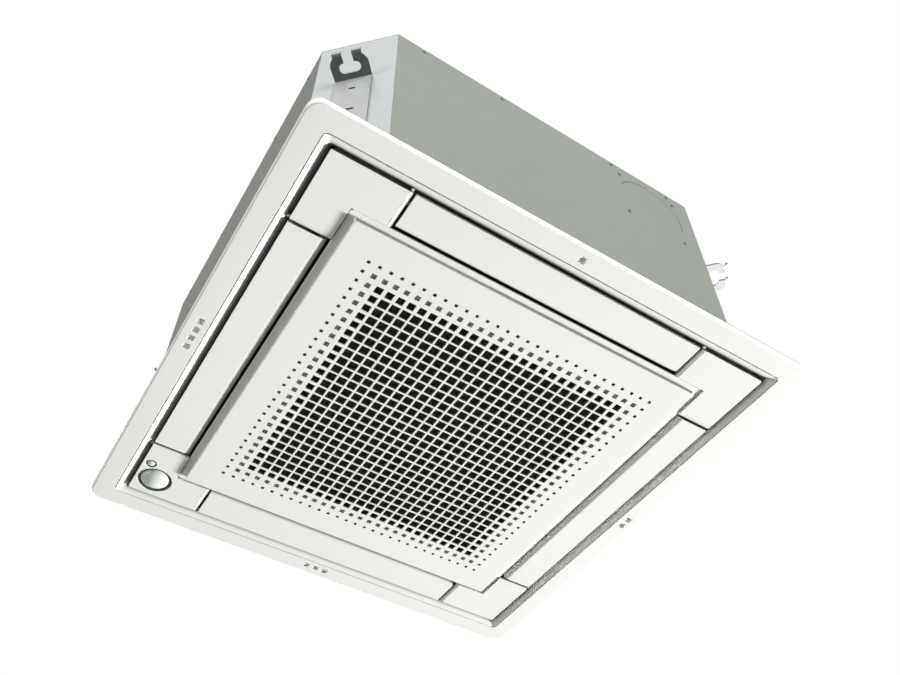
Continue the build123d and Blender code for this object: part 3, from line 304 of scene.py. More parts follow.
def tint_faces(piece, material, test):
    """Give the faces whose centre and normal pass a test a material of their own."""
    piece.data.materials.append(material)
    number = len(piece.data.materials) - 1
    for face in piece.data.polygons:
        if test(face.center / mm, face.normal):
            face.material_index = number


def paint(material, *names):
    """Give solids that keep their own shape, or are stood for by a piece, a material."""
    for name in names:
        node = nodes[name]
        if not node.material_slots:
            node.data.materials.append(material)
        for place in node.material_slots:
            place.material = material


galvanised = sheet_metal("galvanised_sheet", (0.222, 0.238, 0.213), (0.28, 0.297, 0.267), 0.65,
                         metallic=0.0, glint=0.1)
corner_sheet = sheet_metal("corner_sheet", (0.43, 0.45, 0.45), (0.53, 0.55, 0.55), 0.45,
                           metallic=0.3)
# Dark zinc: the casing screws' own colour, and painted shade on the brackets.
dark_zinc_and_shade = sheet_metal("dark_zinc_and_shade", (0.10, 0.11, 0.095), (0.13, 0.14, 0.12), 0.6,
                       metallic=0.1, glint=0.15)
casing = softened_copy("side_casing", "casing_sheet", soften=0.25)
dress(casing, galvanised)
tint_faces(casing, corner_sheet,
           lambda c, n: abs(abs(n.x) - abs(n.y)) < 0.1 and abs(n.z) < 0.1)
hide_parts("side_casing")
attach(casing, "unit")
paint(galvanised, "side_casing", "top_plate", "pipe_plate")
paint(dark_zinc_and_shade, "casing_screws")

# ---- Suspension brackets
# One bracket of thicker zinc-coated plate is riveted to each cut corner. Its flange has an open
# slot for a threaded rod, and two lips are turned up so that the nut can't slip off.
bracket_steel = sheet_metal("bracket_steel", (0.37, 0.385, 0.38), (0.46, 0.475, 0.47), 0.5,
                            metallic=0.3)
corner_names = ["rear_right", "rear_left", "front_left", "front_right"]


def corner_side(corner):
    """The level direction in which a corner of the casing faces."""
    return Vector((1 if "right" in corner else -1, 1 if "rear" in corner else -1, 0)).normalized()


for corner in corner_names:
    bracket = softened_copy(f"hanger_{corner}", f"bracket_{corner}", soften=0.3)
    dress(bracket, bracket_steel)
    # The undersides of the left brackets, which the casing shades, and every bracket's edges and
    # slot walls get the dark zinc. It is painted shade; on the edges it is also their own darker cut
    # steel.
    outward = corner_side(corner)
    on_left = "left" in corner
    tint_faces(bracket, dark_zinc_and_shade, lambda c, n: (n.z < -0.5 and on_left) or (
        abs(n.z) < 0.5 and outward.dot(n) ** 2 < 0.1))
    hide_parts(f"hanger_{corner}")
    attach(bracket, "unit")
    paint(bracket_steel, f"hanger_{corner}")


# ---- Foam liner and top insulation
# Black closed-cell foam is glued to the inside of the casing and under the top plate, so that
# no water condenses on the sheet.
moulding, given, result = effect_group(
    "moulded_surface", [("Mottle Scale", 9.0), ("Grain Scale", 1400.0)], ["Mottle", "Grain"])
where = moulding.nodes.new("ShaderNodeTexCoord")
broad = noise_in(moulding, 4.0)
fine = noise_in(moulding, 2.0)
wire = moulding.links.new
wire(where.outputs["Object"], broad.inputs["Vector"])
wire(where.outputs["Object"], fine.inputs["Vector"])
wire(given.outputs["Mottle Scale"], broad.inputs["Scale"])
wire(given.outputs["Grain Scale"], fine.inputs["Scale"])
wire(broad.outputs[0], result.inputs["Mottle"])
wire(fine.outputs[0], result.inputs["Grain"])


def finish(name, colour, shade, roughness, gloss_change=0.06, grain_depth=0.015,
           grain_scale=1400.0, mottle_scale=9.0):
    """A moulded or cast surface: two close tones mixed by a broad mottle, and a fine grain."""
    material = bpy.data.materials.new(name)
    material.use_nodes = True
    tree = material.node_tree
    surface = tree.nodes["Principled BSDF"]
    effect = tree.nodes.new("ShaderNodeGroup")
    effect.node_tree = bpy.data.node_groups["moulded_surface"]
    effect.inputs["Mottle Scale"].default_value = mottle_scale
    effect.inputs["Grain Scale"].default_value = grain_scale
    set_tones(tree, effect.outputs["Mottle"], surface, colour, shade)
    set_polish(tree, effect.outputs["Mottle"], surface, roughness, gloss_change)
    set_bump(tree, effect.outputs["Grain"], surface, 0.25, grain_depth)
    return material


foam = finish("liner_foam", (0.03, 0.03, 0.03), (0.05, 0.05, 0.048), 0.9, grain_depth=0.2,
              grain_scale=500)
paint(foam, "foam_liner", "top_insulation")

# ---- Fan motor, fan and shaft
# The motor is a pressed steel can that hangs on bolts in rubber bushes under the top plate. The
# turbo fan is moulded in dark plastic, and a flange nut holds it on the shaft.
bright_steel = sheet_metal("bright_steel", (0.52, 0.52, 0.50), (0.66, 0.66, 0.64), 0.35,
                           metallic=0.9, spangle=0.1)
rubber = finish("soft_rubber", (0.015, 0.015, 0.015), (0.025, 0.025, 0.025), 0.7)
fan_grey = finish("fan_plastic", (0.05, 0.052, 0.055), (0.07, 0.072, 0.075), 0.45)
paint(bright_steel, "fan_motor", "motor_bolts", "fan_shaft", "fan_flange_nut")
paint(rubber, "motor_bushes")
paint(fan_grey, "turbo_fan")

# ---- Heat exchanger and pipes
# Aluminium fins are pressed on copper tubes that run round the fan. The tubes are joined by
# brazed return bends outside the end plates, and both pipes end in brass flare unions.
fins = sheet_metal("fin_aluminium", (0.50, 0.51, 0.52), (0.66, 0.67, 0.68), 0.4,
                   metallic=0.9, spangle=0.05, streak_scale=400.0)
copper = sheet_metal("drawn_copper", (0.60, 0.28, 0.16), (0.72, 0.36, 0.22), 0.35,
                     metallic=1.0, spangle=0.1)
brass = sheet_metal("turned_brass", (0.60, 0.44, 0.20), (0.70, 0.54, 0.27), 0.3,
                    metallic=1.0, spangle=0.1)
paint(fins, "coil_fin_pack")
paint(galvanised, "coil_end_plates")
paint(copper, "coil_return_bends", "gas_pipe", "liquid_pipe")
paint(brass, "flare_unions")

# ---- Drain pump, float switch and drain socket
# The pump hangs on a small sheet bracket and lifts the water from the pan's sump through a
# rubber hose to the grey socket in the casing. A foam float under the switch stops the unit
# when the water stands too high.
black_plastic = finish("black_plastic", (0.018, 0.018, 0.018), (0.026, 0.026, 0.025), 0.5)
socket_grey = finish("socket_plastic", (0.30, 0.30, 0.29), (0.34, 0.34, 0.33), 0.45)
float_cream = finish("float_foam", (0.70, 0.64, 0.45), (0.62, 0.56, 0.38), 0.8)
paint(galvanised, "pump_bracket")
paint(black_plastic, "drain_pump", "float_switch")
paint(fan_grey, "pump_impeller")
paint(rubber, "drain_hose")
paint(socket_grey, "drain_socket")
paint(float_cream, "float_ring")

# ---- Drain pan and bell mouth
# The pan is one block of white foam with a trough under the coil, a sump and the four air
# ducts. The bell mouth of dark plastic is screwed into its middle and leads the air to the fan.
pan_foam = finish("pan_foam", (0.70, 0.70, 0.68), (0.64, 0.64, 0.62), 0.8, grain_depth=0.2,
                  grain_scale=300)
paint(pan_foam, "drain_pan")
paint(fan_grey, "bell_mouth")

# ---- Control box
# A sheet box beside the bell mouth holds the circuit board and the terminal block. The cables
# enter the casing through two rubber grommets, and a small black sensor reads the room air.
board_green = finish("board_green", (0.01, 0.10, 0.04), (0.015, 0.13, 0.055), 0.35)
paint(galvanised, "control_box", "control_box_cover")
paint(board_green, "circuit_board")
paint(socket_grey, "terminal_block")
paint(rubber, "cable_grommets")
paint(black_plastic, "air_temperature_sensor")


# ---- Panel frame
# One large moulding in warm white plastic: a flat border with a rounded rim, a bevel down to
# the sunk discharge ring, and walls up into the ceiling opening. Small sunk squares on the
# border number the outlets. Screws hold it to the casing against a strip of black foam.
def math_in(group, operation):
    node = group.nodes.new("ShaderNodeMath")
    node.operation = operation
    return node


# depth_shade paints shade into a colour: faces that lie deeper than a level, within a reach of the
# middle, turn dark where shade falls in joints and holes.
shade_group, given, result = effect_group(
    "depth_shade", [("Unshaded Level", -4.5), ("Dark Level", -3.9), ("Reach", 278.0)], ["Shade"])
where = shade_group.nodes.new("ShaderNodeTexCoord")
to_mm = shade_group.nodes.new("ShaderNodeVectorMath")
to_mm.operation = "SCALE"
to_mm.inputs["Scale"].default_value = 1000
place = shade_group.nodes.new("ShaderNodeSeparateXYZ")
level = shade_group.nodes.new("ShaderNodeMapRange")
size_x = math_in(shade_group, "ABSOLUTE")
size_y = math_in(shade_group, "ABSOLUTE")
farther = math_in(shade_group, "MAXIMUM")
inside = math_in(shade_group, "LESS_THAN")
both = math_in(shade_group, "MULTIPLY")
wire = shade_group.links.new
wire(where.outputs["Object"], to_mm.inputs[0])
wire(to_mm.outputs[0], place.inputs[0])
wire(place.outputs["Z"], level.inputs["Value"])
wire(given.outputs["Unshaded Level"], level.inputs["From Min"])
wire(given.outputs["Dark Level"], level.inputs["From Max"])
wire(place.outputs["X"], size_x.inputs[0])
wire(place.outputs["Y"], size_y.inputs[0])
wire(size_x.outputs[0], farther.inputs[0])
wire(size_y.outputs[0], farther.inputs[1])
wire(farther.outputs[0], inside.inputs[0])
wire(given.outputs["Reach"], inside.inputs[1])
wire(level.outputs[0], both.inputs[0])
wire(inside.outputs[0], both.inputs[1])
wire(both.outputs[0], result.inputs["Shade"])

warm_white, warm_shade = (0.80, 0.80, 0.765), (0.775, 0.775, 0.74)


def panel_plastic(name, unshaded_level, dark_level, reach, deep=(0.10, 0.11, 0.09)):
    """The panel's warm white, darkened by painted shade where a face lies deep in a joint or a hole.
    """
    material = finish(name, warm_white, warm_shade, 0.42, grain_depth=0.003)
    tree = material.node_tree
    effect = tree.nodes.new("ShaderNodeGroup")
    effect.node_tree = bpy.data.node_groups["depth_shade"]
    effect.inputs["Unshaded Level"].default_value = unshaded_level
    effect.inputs["Dark Level"].default_value = dark_level
    effect.inputs["Reach"].default_value = reach
    mixed = tree.nodes.new("ShaderNodeMix")
    mixed.data_type = "RGBA"
    mixed.inputs[7].default_value = (*deep, 1)
    colour = tree.nodes["Principled BSDF"].inputs["Base Color"]
    unshaded_colour = colour.links[0].from_socket
    tree.links.new(effect.outputs["Shade"], mixed.inputs[0])
    tree.links.new(unshaded_colour, mixed.inputs[6])
    tree.links.new(mixed.outputs[2], colour)
    return material


def open_mesh(piece, mode="VERT"):
    """Go into edit mode with nothing selected."""
    only(piece)
    bpy.ops.object.mode_set(mode="EDIT")
    bpy.ops.mesh.select_mode(type=mode)
    bpy.ops.mesh.select_all(action="DESELECT")


def brick(low, high):
    """A box between two corners in millimetres, on its own object."""
    bpy.ops.object.select_all(action="DESELECT")
    middle = [(a + b) / 2 * mm for a, b in zip(low, high)]
    size = [abs(b - a) * mm for a, b in zip(low, high)]
    bpy.ops.mesh.primitive_cube_add(size=1, location=middle)
    bpy.ops.object.mode_set(mode="EDIT")
    bpy.ops.transform.resize(value=size)
    close_mesh()
    return bpy.context.object


def bar(place, radius, length, axis="Z", sides=32):
    """A round bar with its middle at a place in millimetres."""
    bpy.ops.object.select_all(action="DESELECT")
    turns = {"X": (0, pi / 2, 0), "Y": (pi / 2, 0, 0), "Z": (0, 0, 0)}
    bpy.ops.mesh.primitive_cylinder_add(vertices=sides, radius=radius * mm, depth=length * mm,
                                        location=[v * mm for v in place], rotation=turns[axis])
    return bpy.context.object


def join_all(pieces):
    """Join loose pieces into the first one."""
    for piece in pieces:
        only(piece)
        bpy.ops.object.transform_apply(location=True, rotation=True, scale=True)
    bpy.ops.object.select_all(action="DESELECT")
    for piece in pieces:
        piece.select_set(True)
    bpy.context.view_layer.objects.active = pieces[0]
    bpy.ops.object.join()
    return pieces[0]


def cut_out(piece, cutter, name):
    """Take a cutter's shape out of a piece and remove the cutter."""
    hollow = piece.modifiers.new(name, "BOOLEAN")
    hollow.object = cutter
    hollow.operation = "DIFFERENCE"
    hollow.solver = "EXACT"
    only(piece)
    bpy.ops.object.modifier_apply(modifier=hollow.name)
    bpy.data.objects.remove(cutter)


def square_skin(loops):
    """A closed skin through rounded squares, each given as half width, corner and height.

    Every other one is lifted a hair, because a bridge between level loops can twist.
    """
    hair = 0.02
    corner_steps = 6
    rings = []
    for number, (half, corner, height) in enumerate(loops):
        bpy.ops.object.select_all(action="DESELECT")
        bpy.ops.mesh.primitive_plane_add(
            size=2, location=(0, 0, (height + hair * (number % 2)) * mm))
        bpy.ops.object.mode_set(mode="EDIT")
        bpy.ops.transform.resize(value=(half * mm, half * mm, 1))
        bpy.ops.mesh.bevel(offset=corner * mm, segments=corner_steps, affect="VERTICES")
        bpy.ops.mesh.delete(type="ONLY_FACE")
        close_mesh()
        ring = bpy.context.object
        mark = ring.vertex_groups.new(name=f"loop_{number:02d}")
        mark.add(list(range(len(ring.data.vertices))), 1, "REPLACE")
        rings.append(ring)
    skin = join_all(rings)
    for number in range(len(loops)):
        open_mesh(skin)
        for end in (number, (number + 1) % len(loops)):
            skin.vertex_groups.active_index = skin.vertex_groups[f"loop_{end:02d}"].index
            bpy.ops.object.vertex_group_select()
        bpy.ops.mesh.bridge_edge_loops()
        close_mesh()
    skin.vertex_groups.clear()
    return skin


rim = 310.0                   # half the panel's width
recess = 275.7                # half width of the sunk ring
shelf, shelf_half = 272.3, 0.6
wall_top = 35                 # the walls end here, inside the casing
border = square_skin([
    (recess, 3.0, wall_top), (recess, 3.0, shelf_half),             # inside of the outer wall
    (shelf, 2.0, shelf_half), (shelf, 2.0, -shelf_half),            # shelf behind the flaps
    (recess, 3.0, -shelf_half), (recess, 3.0, -4.0),
    (276.0, 3.2, -4.3), (284.3, 5.0, -8.75),                        # bevel
    (284.4, 5.1, -7.6), (285.4, 5.8, -7.6), (285.5, 5.9, -8.78),    # thin groove
    (308.0, 14.0, -8.62), (308.75, 14.75, -8.45), (309.4, 15.4, -8.0),
    (309.85, 15.85, -7.35), (rim, 16, -6.6), (rim, 16, -1.3),       # border and rounded rim
    (rim, 16, -0.4), (309.6, 15.6, 0), (307, 13, 0), (307, 13, -5),
    (284, 6, -5), (284, 6, 0),                                      # hollow back
    (278.7, 6, 0), (278.7, 6, wall_top)])                           # outside of the outer wall
ring_outer, ring_inner = 224.5, 221.5             # the wall round the suction opening
ring_low, suction_opening, flange_level = 6, 205, 32
ring = square_skin([
    (ring_outer, 3, ring_low), (ring_outer, 3, wall_top), (suction_opening, 3, wall_top),
    (suction_opening, 3, flange_level), (ring_inner, 3, flange_level), (ring_inner, 3, ring_low)])
mark_place, mark_pitch, mark_half = 296.0, 13.2, 3.9
mark_low, mark_high = -10, -6.9
marks_on_side = (2, 3, 4, 1)
cutters = []
for side, marks in enumerate(marks_on_side):
    squares = []
    for number in range(marks):
        along = (number - (marks - 1) / 2) * mark_pitch
        squares.append(brick((mark_place - mark_half, along - mark_half, mark_low),
                             (mark_place + mark_half, along + mark_half, mark_high)))
    cutter = join_all(squares)
    cutter.matrix_world = Matrix.Rotation(side * pi / 2, 4, "Z")
    cutters.append(cutter)
cut_out(border, join_all(cutters), "outlet_marks")
frame_parts = [border, ring]
outlet_end, end_wall = 183.5, 3.0                 # half length of an air outlet, and its wall
wall_from, wall_to = 223.0, 276.5                 # both ends run into the walls beside them
cover_seat = -5.1                                 # the corner covers rest on this level
deck_low, deck_high = 17, 20                      # decks close the corners above the covers
rib_pitch, rib_half = 60, 1
for side in range(4):
    pieces = []
    for end in (-1, 1):
        wall = sorted((end * outlet_end, end * (outlet_end + end_wall)))
        pieces.append(brick((227.5, wall[0], cover_seat), (274.7, wall[1], ring_low)))
        pieces.append(brick((wall_from, wall[0], ring_low), (wall_to, wall[1], wall_top)))
    pieces.append(brick((wall_from, outlet_end, deck_low), (wall_to, wall_from, deck_high)))
    pieces.append(brick((outlet_end, wall_from, deck_low), (wall_to, wall_to, deck_high)))
    for rib in range(-4, 5):
        along = rib * rib_pitch
        pieces.append(brick((284, along - rib_half, -6.2), (307.5, along + rib_half, -0.2)))
    group = join_all(pieces)
    group.matrix_world = Matrix.Rotation(side * pi / 2, 4, "Z")
    frame_parts.append(group)
hinge_places = (-120, 120)    # the grille's hinges at the rear and latches at the front
arm_half, arm_top = 6, 12
pivot_y, pivot_height, pivot_radius = 215, -5, 3
ledge_half, ledge_low = 8, 10                     # a latch hooks on this ledge
for x in hinge_places:
    left, right = x - arm_half, x + arm_half
    frame_parts.append(brick((left, 209.7, pivot_height), (right, 214.7, arm_top)))
    frame_parts.append(brick((left, 214.0, 9), (right, 223.5, arm_top)))
    frame_parts.append(bar((x, pivot_y, pivot_height), pivot_radius, 2 * arm_half, axis="X"))
    frame_parts.append(brick((x - ledge_half, -223, ledge_low), (x + ledge_half, -216.5, arm_top)))
# Painted shade darkens the bevel and the walls as they go deeper into the groove round the flaps.
frame_plastic = panel_plastic("frame_plastic", -6.2, -3.2, 283.0)
panel = tidy(join_all(frame_parts), "panel_moulding", soften=0.25)
dress(panel, frame_plastic)


def reach_of(point):
    """How far out a point lies on the longer level axis."""
    return max(abs(point.x), abs(point.y))


groove_from, groove_to = 284.36, 285.4499         # the groove's outer wall stays white
rim_from = 308.9                                  # the rounded rim begins here
tint_faces(panel, finish("joint_shade", (0.22, 0.23, 0.20), (0.18, 0.19, 0.17), 0.6),
           lambda c, n: groove_from < reach_of(c) < groove_to and -8.6 < c.z < -7.4)
tint_faces(panel, finish("frame_back", warm_white, warm_shade, 0.45),
           lambda c, n: c.z > -4.2 and reach_of(c) > wall_to and (reach_of(c) < 309 or c.z > 0.1))
tint_faces(panel, finish("rim_shadow", (0.05, 0.05, 0.045), (0.04, 0.04, 0.035), 0.7),
           lambda c, n: reach_of(c) > rim_from and -1.35 < c.z < 0.1)
# The rounded rim on the right and rear sides gets a grey: painted shade on the edge.
tint_faces(panel, finish("rim_edge_shade", (0.27, 0.27, 0.255), (0.25, 0.25, 0.24), 0.5),
           lambda c, n: max(c.x, c.y) > rim_from and -8.45 < c.z < -6.7)
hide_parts("panel_frame")
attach(panel, "unit")
paint(frame_plastic, "panel_frame")
paint(rubber, "panel_seal")
paint(bright_steel, "panel_screws")


# ---- Air flaps and their motors
# Four hinged blades of the white plastic close the outlets. Each is a shallow tray with a
# rounded inner edge, an arm at both ends and a pin that turns in a black bush. A small stepper
# motor, held by two screws, turns it from one end.
def choose_faces(piece, test):
    """Select the faces whose centre and normal pass a test."""
    open_mesh(piece, "FACE")
    close_mesh()
    for face in piece.data.polygons:
        face.select = bool(test(face.center / mm, face.normal))
    bpy.ops.object.mode_set(mode="EDIT")


def choose_edges(piece, test):
    """Select the edges whose two ends pass a test."""
    open_mesh(piece, "EDGE")
    close_mesh()
    for edge in piece.data.edges:
        ends = [piece.data.vertices[i].co / mm for i in edge.vertices]
        edge.select = bool(test(*ends))
    bpy.ops.object.mode_set(mode="EDIT")


def quarter_copies(piece, names):
    """Copies of a piece turned about the unit's axis, each with its own mesh."""
    made = [piece]
    for number in range(1, len(names)):
        twin = piece.copy()
        twin.data = piece.data.copy()
        bpy.context.scene.collection.objects.link(twin)
        only(twin)
        twin.rotation_euler = (0, 0, number * pi / 2)
        bpy.ops.object.transform_apply(location=True, rotation=True, scale=True)
        made.append(twin)
    for twin, name in zip(made, names):
        twin.name = name
        twin.data.name = name
    return made


face_level = -7.6             # flaps and corner covers lie a little above the border
blade_inner, blade_outer, blade_half = 226.0, 271.6, 179.8
blade_round = 11              # radius of the inner edge
tray_top, tray_wall = -3.0, 1.8
arm_thickness = 2.5
foot_from, foot_to = 238, 252
stem_from, stem_to = 240, 250
pin_place, pin_height, pin_radius = 245, 5.5, 2.5
tray = brick((blade_inner, -blade_half, face_level), (blade_outer, blade_half, 3.6))
only(tray)
bpy.ops.object.transform_apply(location=True, rotation=True, scale=True)
choose_edges(tray, lambda a, b: max(a.x, b.x) < blade_inner + 0.1
             and max(a.z, b.z) < face_level + 0.1)
bpy.ops.mesh.bevel(offset=blade_round * mm, segments=16, affect="EDGES")
bpy.ops.mesh.select_all(action="SELECT")
bpy.ops.mesh.bisect(plane_co=(0, 0, tray_top * mm), plane_no=(0, 0, 1), use_fill=True,
                    clear_outer=True)
close_mesh()
choose_faces(tray, lambda c, n: n.z > 0.9)
bpy.ops.mesh.inset(thickness=tray_wall * mm, depth=0)
bpy.ops.transform.translate(value=(0, 0, -tray_wall * mm))
close_mesh()
flap_parts = [tray]
for end in (-1, 1):
    arm = sorted((end * (blade_half - arm_thickness), end * blade_half))
    middle = end * (blade_half - arm_thickness / 2)
    flap_parts.append(brick((foot_from, arm[0], -6.4), (foot_to, arm[1], -3.5)))
    flap_parts.append(brick((stem_from, arm[0], -4.5), (stem_to, arm[1], pin_height)))
    flap_parts.append(bar((pin_place, middle, pin_height), 5, arm_thickness, axis="Y"))
for middle, length in ((186.65, 13.7), (-183.65, 7.7)):           # the motor's end is longer
    flap_parts.append(bar((pin_place, middle, pin_height), pin_radius, length, axis="Y"))
# Painted shade darkens the blade's rounded inner edge and its walls as they rise into the gaps.
flap_plastic = panel_plastic("flap_plastic", -6.0, -3.2, 290.0)
blade = tidy(join_all(flap_parts), "blade", angle=30, soften=0.25)
sides = ["right", "rear", "left", "front"]
for flap, side in zip(quarter_copies(blade, [f"air_blade_{side}" for side in sides]), sides):
    dress(flap, flap_plastic)
    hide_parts(f"flap_{side}")
    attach(flap, f"air_flap_{side}")
    paint(frame_plastic, f"flap_{side}")
paint(bright_steel, "flap_motors", "flap_motor_screws")
paint(black_plastic, "flap_bushes")


# ---- Sensor dome and lens
# A round glossy window that a motion and floor sensor look through, with a small lens beside
# it. Both sit in a black holder behind the rear left cover, which shows as a thin dark ring.
def dome(name, place, radius, rise, low, node):
    """A shallow dome drawn inwards from its rim in rings."""
    rings = 12
    skirt = 2.2
    bpy.ops.object.select_all(action="DESELECT")
    bpy.ops.mesh.primitive_circle_add(vertices=64, radius=radius * mm, fill_type="NGON",
                                      location=(place[0] * mm, place[1] * mm, low * mm))
    cap = bpy.context.object
    only(cap)
    bpy.ops.object.mode_set(mode="EDIT")
    bpy.ops.mesh.select_mode(type="FACE")
    bpy.ops.mesh.select_all(action="SELECT")
    bpy.ops.mesh.extrude_region_move(TRANSFORM_OT_translate={"value": (0, 0, -skirt * mm)})
    bulge = (radius ** 2 + rise ** 2) / (2 * rise)
    before = 0.0
    for step in range(1, rings + 1):
        reach = radius * (1 - step / (rings + 0.5))
        depth = sqrt(bulge ** 2 - reach ** 2) - (bulge - rise)
        bpy.ops.mesh.inset(thickness=radius / (rings + 0.5) * mm, depth=0)
        bpy.ops.transform.translate(value=(0, 0, -(depth - before) * mm))
        before = depth
    close_mesh()
    tidy(cap, name, angle=40)
    dress(cap, dome_gloss)
    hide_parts(node)
    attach(cap, "unit")
    paint(dome_gloss, node)


dome_gloss = finish("dome_gloss", (0.64, 0.68, 0.64), (0.60, 0.64, 0.60), 0.22, 0.03, 0.004)
dome("sensor_window", (-248, 244), 17.7, 5.0, -3.7, "sensor_dome")
dome("sensor_eye", (-262, 218), 4.4, 0.9, -4.8, "sensor_lens")
paint(black_plastic, "sensor_housing")


# ---- Corner covers
# Four snap-in covers of the same white plastic close the corners of the sunk ring. Each is an
# L-shaped plate that falls away slightly towards the flaps beside it, on legs that clip in the
# corner deck.
def choose_points(piece, test):
    """Select the vertices whose place passes a test."""
    open_mesh(piece)
    close_mesh()
    for point in piece.data.vertices:
        point.select = bool(test(point.co / mm))
    bpy.ops.object.mode_set(mode="EDIT")


cover_low, cover_high = 182.8, 271.8
cover_notch = 226.3           # the grille's corner stands in this notch
seam = (cover_low + 4.2, cover_low + 4.7)
seam_depth, cover_thickness, cover_fall = 0.5, 2.5, 0.9


def corner_plate():
    """The cover's plate for the rear right corner."""
    centre = (cover_low + cover_high) / 2 * mm
    bpy.ops.object.select_all(action="DESELECT")
    bpy.ops.mesh.primitive_plane_add(size=(cover_high - cover_low) * mm,
                                     location=(centre, centre, face_level * mm))
    plate = bpy.context.object
    only(plate)
    bpy.ops.object.transform_apply(location=True)
    for cut in (cover_notch, *seam):
        for direction in ((1, 0, 0), (0, 1, 0)):
            bpy.ops.object.mode_set(mode="EDIT")
            bpy.ops.mesh.select_all(action="SELECT")
            bpy.ops.mesh.bisect(plane_co=[v * cut * mm for v in direction], plane_no=direction)
            close_mesh()
    choose_faces(plate, lambda c, n: c.x < cover_notch and c.y < cover_notch)
    bpy.ops.mesh.delete(type="FACE")
    close_mesh()
    choose_faces(plate, lambda c, n: seam[0] < min(c.x, c.y) < seam[1])
    bpy.ops.mesh.extrude_region_move(TRANSFORM_OT_translate={"value": (0, 0, seam_depth * mm)})
    bpy.ops.mesh.select_mode(type="FACE")
    bpy.ops.mesh.select_all(action="SELECT")
    bpy.ops.mesh.extrude_region_move(
        TRANSFORM_OT_translate={"value": (0, 0, cover_thickness * mm)})
    close_mesh()
    choose_points(plate, lambda p: p.z < -7 and min(p.x, p.y) < cover_low + 1)
    bpy.ops.transform.translate(value=(0, 0, cover_fall * mm))
    close_mesh()
    choose_points(plate, lambda p: min(p.x, p.y) > cover_high - 1)
    bpy.ops.mesh.bevel(offset=2 * mm, segments=4, affect="EDGES")
    close_mesh()
    return plate


leg_half, clip_half = 4, 1.5
leg_places = ((263.8, 232), (205, 263.8), (263.8, 263.8))
rib_from, rib_start, rib_end = 269.8, 187.5, 267.8    # a stiffening rib along both outer edges
sensor_holes = (((244, 248), 20.9), ((218, 262), 6.7))
# Painted shade darkens the covers' side walls where they rise into the gaps.
cover_plastic = panel_plastic("cover_plastic", -7.2, -6.6, 290.0)
for number, corner in enumerate(corner_names):
    plate = corner_plate()
    legs = [brick((x - leg_half, y - clip_half, cover_seat), (x + leg_half, y + clip_half, deck_low))
            for x, y in leg_places]
    legs.append(brick((rib_from, rib_start, cover_seat), (cover_high, rib_end, 0)))
    legs.append(brick((rib_start, rib_from, cover_seat), (rib_end, cover_high, 0)))
    if corner == "rear_left":
        for place, radius in sensor_holes:
            cut_out(plate, bar((*place, -6), radius, 8, sides=64), "sensor_hole")
    cover = join_all([plate, *legs])
    cover.rotation_euler = (0, 0, number * pi / 2)
    tidy(cover, f"cover_{corner}", angle=30, soften=0.35)
    dress(cover, cover_plastic)
    tint_faces(cover, frame_plastic,
               lambda c, n: abs(reach_of(c) - cover_notch) < 0.4 and abs(n.z) < 0.9)
    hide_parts(f"corner_cover_{corner}")
    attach(cover, "unit")
    paint(frame_plastic, f"corner_cover_{corner}")

# ---- Suction grille
# The hinged middle plate, moulded in one piece: a square lattice of air holes that fades out
# in two rows of blind dimples, a flat margin and a stepped lip. Steel pins hinge it at the
# rear, and two white latches slide behind its front edge.
grille_face = -11.4
grille_half = 216.6
plate_thickness = 2.5
lattice_rib = 2.5             # the lattice is as much thicker than the margin
corner_round = 2.5
pitch = 13.03
rows = 31
span = rows * pitch
hole = (0, 11, 10.9)          # first row, last row and opening of each kind of cell
edge_hole = (12, 12, 8.9)
dimple = (13, 13, 6.2)
small_dimple = (14, 14, 3.8)
bpy.ops.object.select_all(action="DESELECT")
bpy.ops.mesh.primitive_grid_add(x_subdivisions=rows, y_subdivisions=rows, size=span * mm,
                                location=(0, 0, grille_face * mm))
grille = bpy.context.object
only(grille)
bpy.ops.object.transform_apply(location=True)
margin = grille_half - span / 2
for axis in (0, 1):
    for way in (-1, 1):
        choose_points(grille, lambda p: p[axis] * way > span / 2 - 1)
        bpy.ops.transform.translate(
            value=[way * margin * mm if i == axis else 0 for i in range(3)])
        close_mesh()


def cell_row(centre):
    """How many cells out from the middle a cell lies, counted on the longer axis."""
    return round(reach_of(centre) / pitch)


def is_cell(centre, low, high):
    return centre.z < grille_face + 0.1 and low <= cell_row(centre) <= high \
        and reach_of(centre) < 190


def choose_cells(*kinds):
    """Select the inset faces of one or more kinds of cell, known by row and by area."""
    open_mesh(grille, "FACE")
    close_mesh()
    for face in grille.data.polygons:
        face.select = any(is_cell(face.center / mm, low, high)
                          and abs(face.area - (opening * mm) ** 2) < 2e-7
                          for low, high, opening in kinds)
    bpy.ops.object.mode_set(mode="EDIT")
    bpy.ops.mesh.select_mode(type="FACE")


for low, high, opening in (hole, edge_hole, dimple, small_dimple):
    choose_faces(grille, lambda c, n: is_cell(c, low, high))
    bpy.ops.mesh.inset(thickness=(pitch - opening) / 2 * mm, use_individual=True)
    close_mesh()
for kind, depth in ((dimple, 2.4), (small_dimple, 3.6)):
    choose_cells(kind)
    bpy.ops.mesh.extrude_region_move(TRANSFORM_OT_translate={"value": (0, 0, depth * mm)})
    close_mesh()
choose_cells(hole, edge_hole)
bpy.ops.mesh.delete(type="FACE")
close_mesh()
choose_points(grille, lambda p: min(abs(p.x), abs(p.y)) > grille_half - 0.1)
bpy.ops.mesh.bevel(offset=corner_round * mm, segments=5, affect="VERTICES")
close_mesh()
lip = ((217.0, -11.34), (217.5, -11.1), (217.95, -10.4), (218.25, -6.9), (218.5, -6.3),
       (219.0, -6.05), (224.8, -6.2), (225.3, -5.8), (225.4, -4.6))
choose_points(grille, lambda p: reach_of(p) > grille_half - 2 * corner_round)
bpy.ops.mesh.select_mode(type="EDGE")
reach, depth = grille_half, grille_face
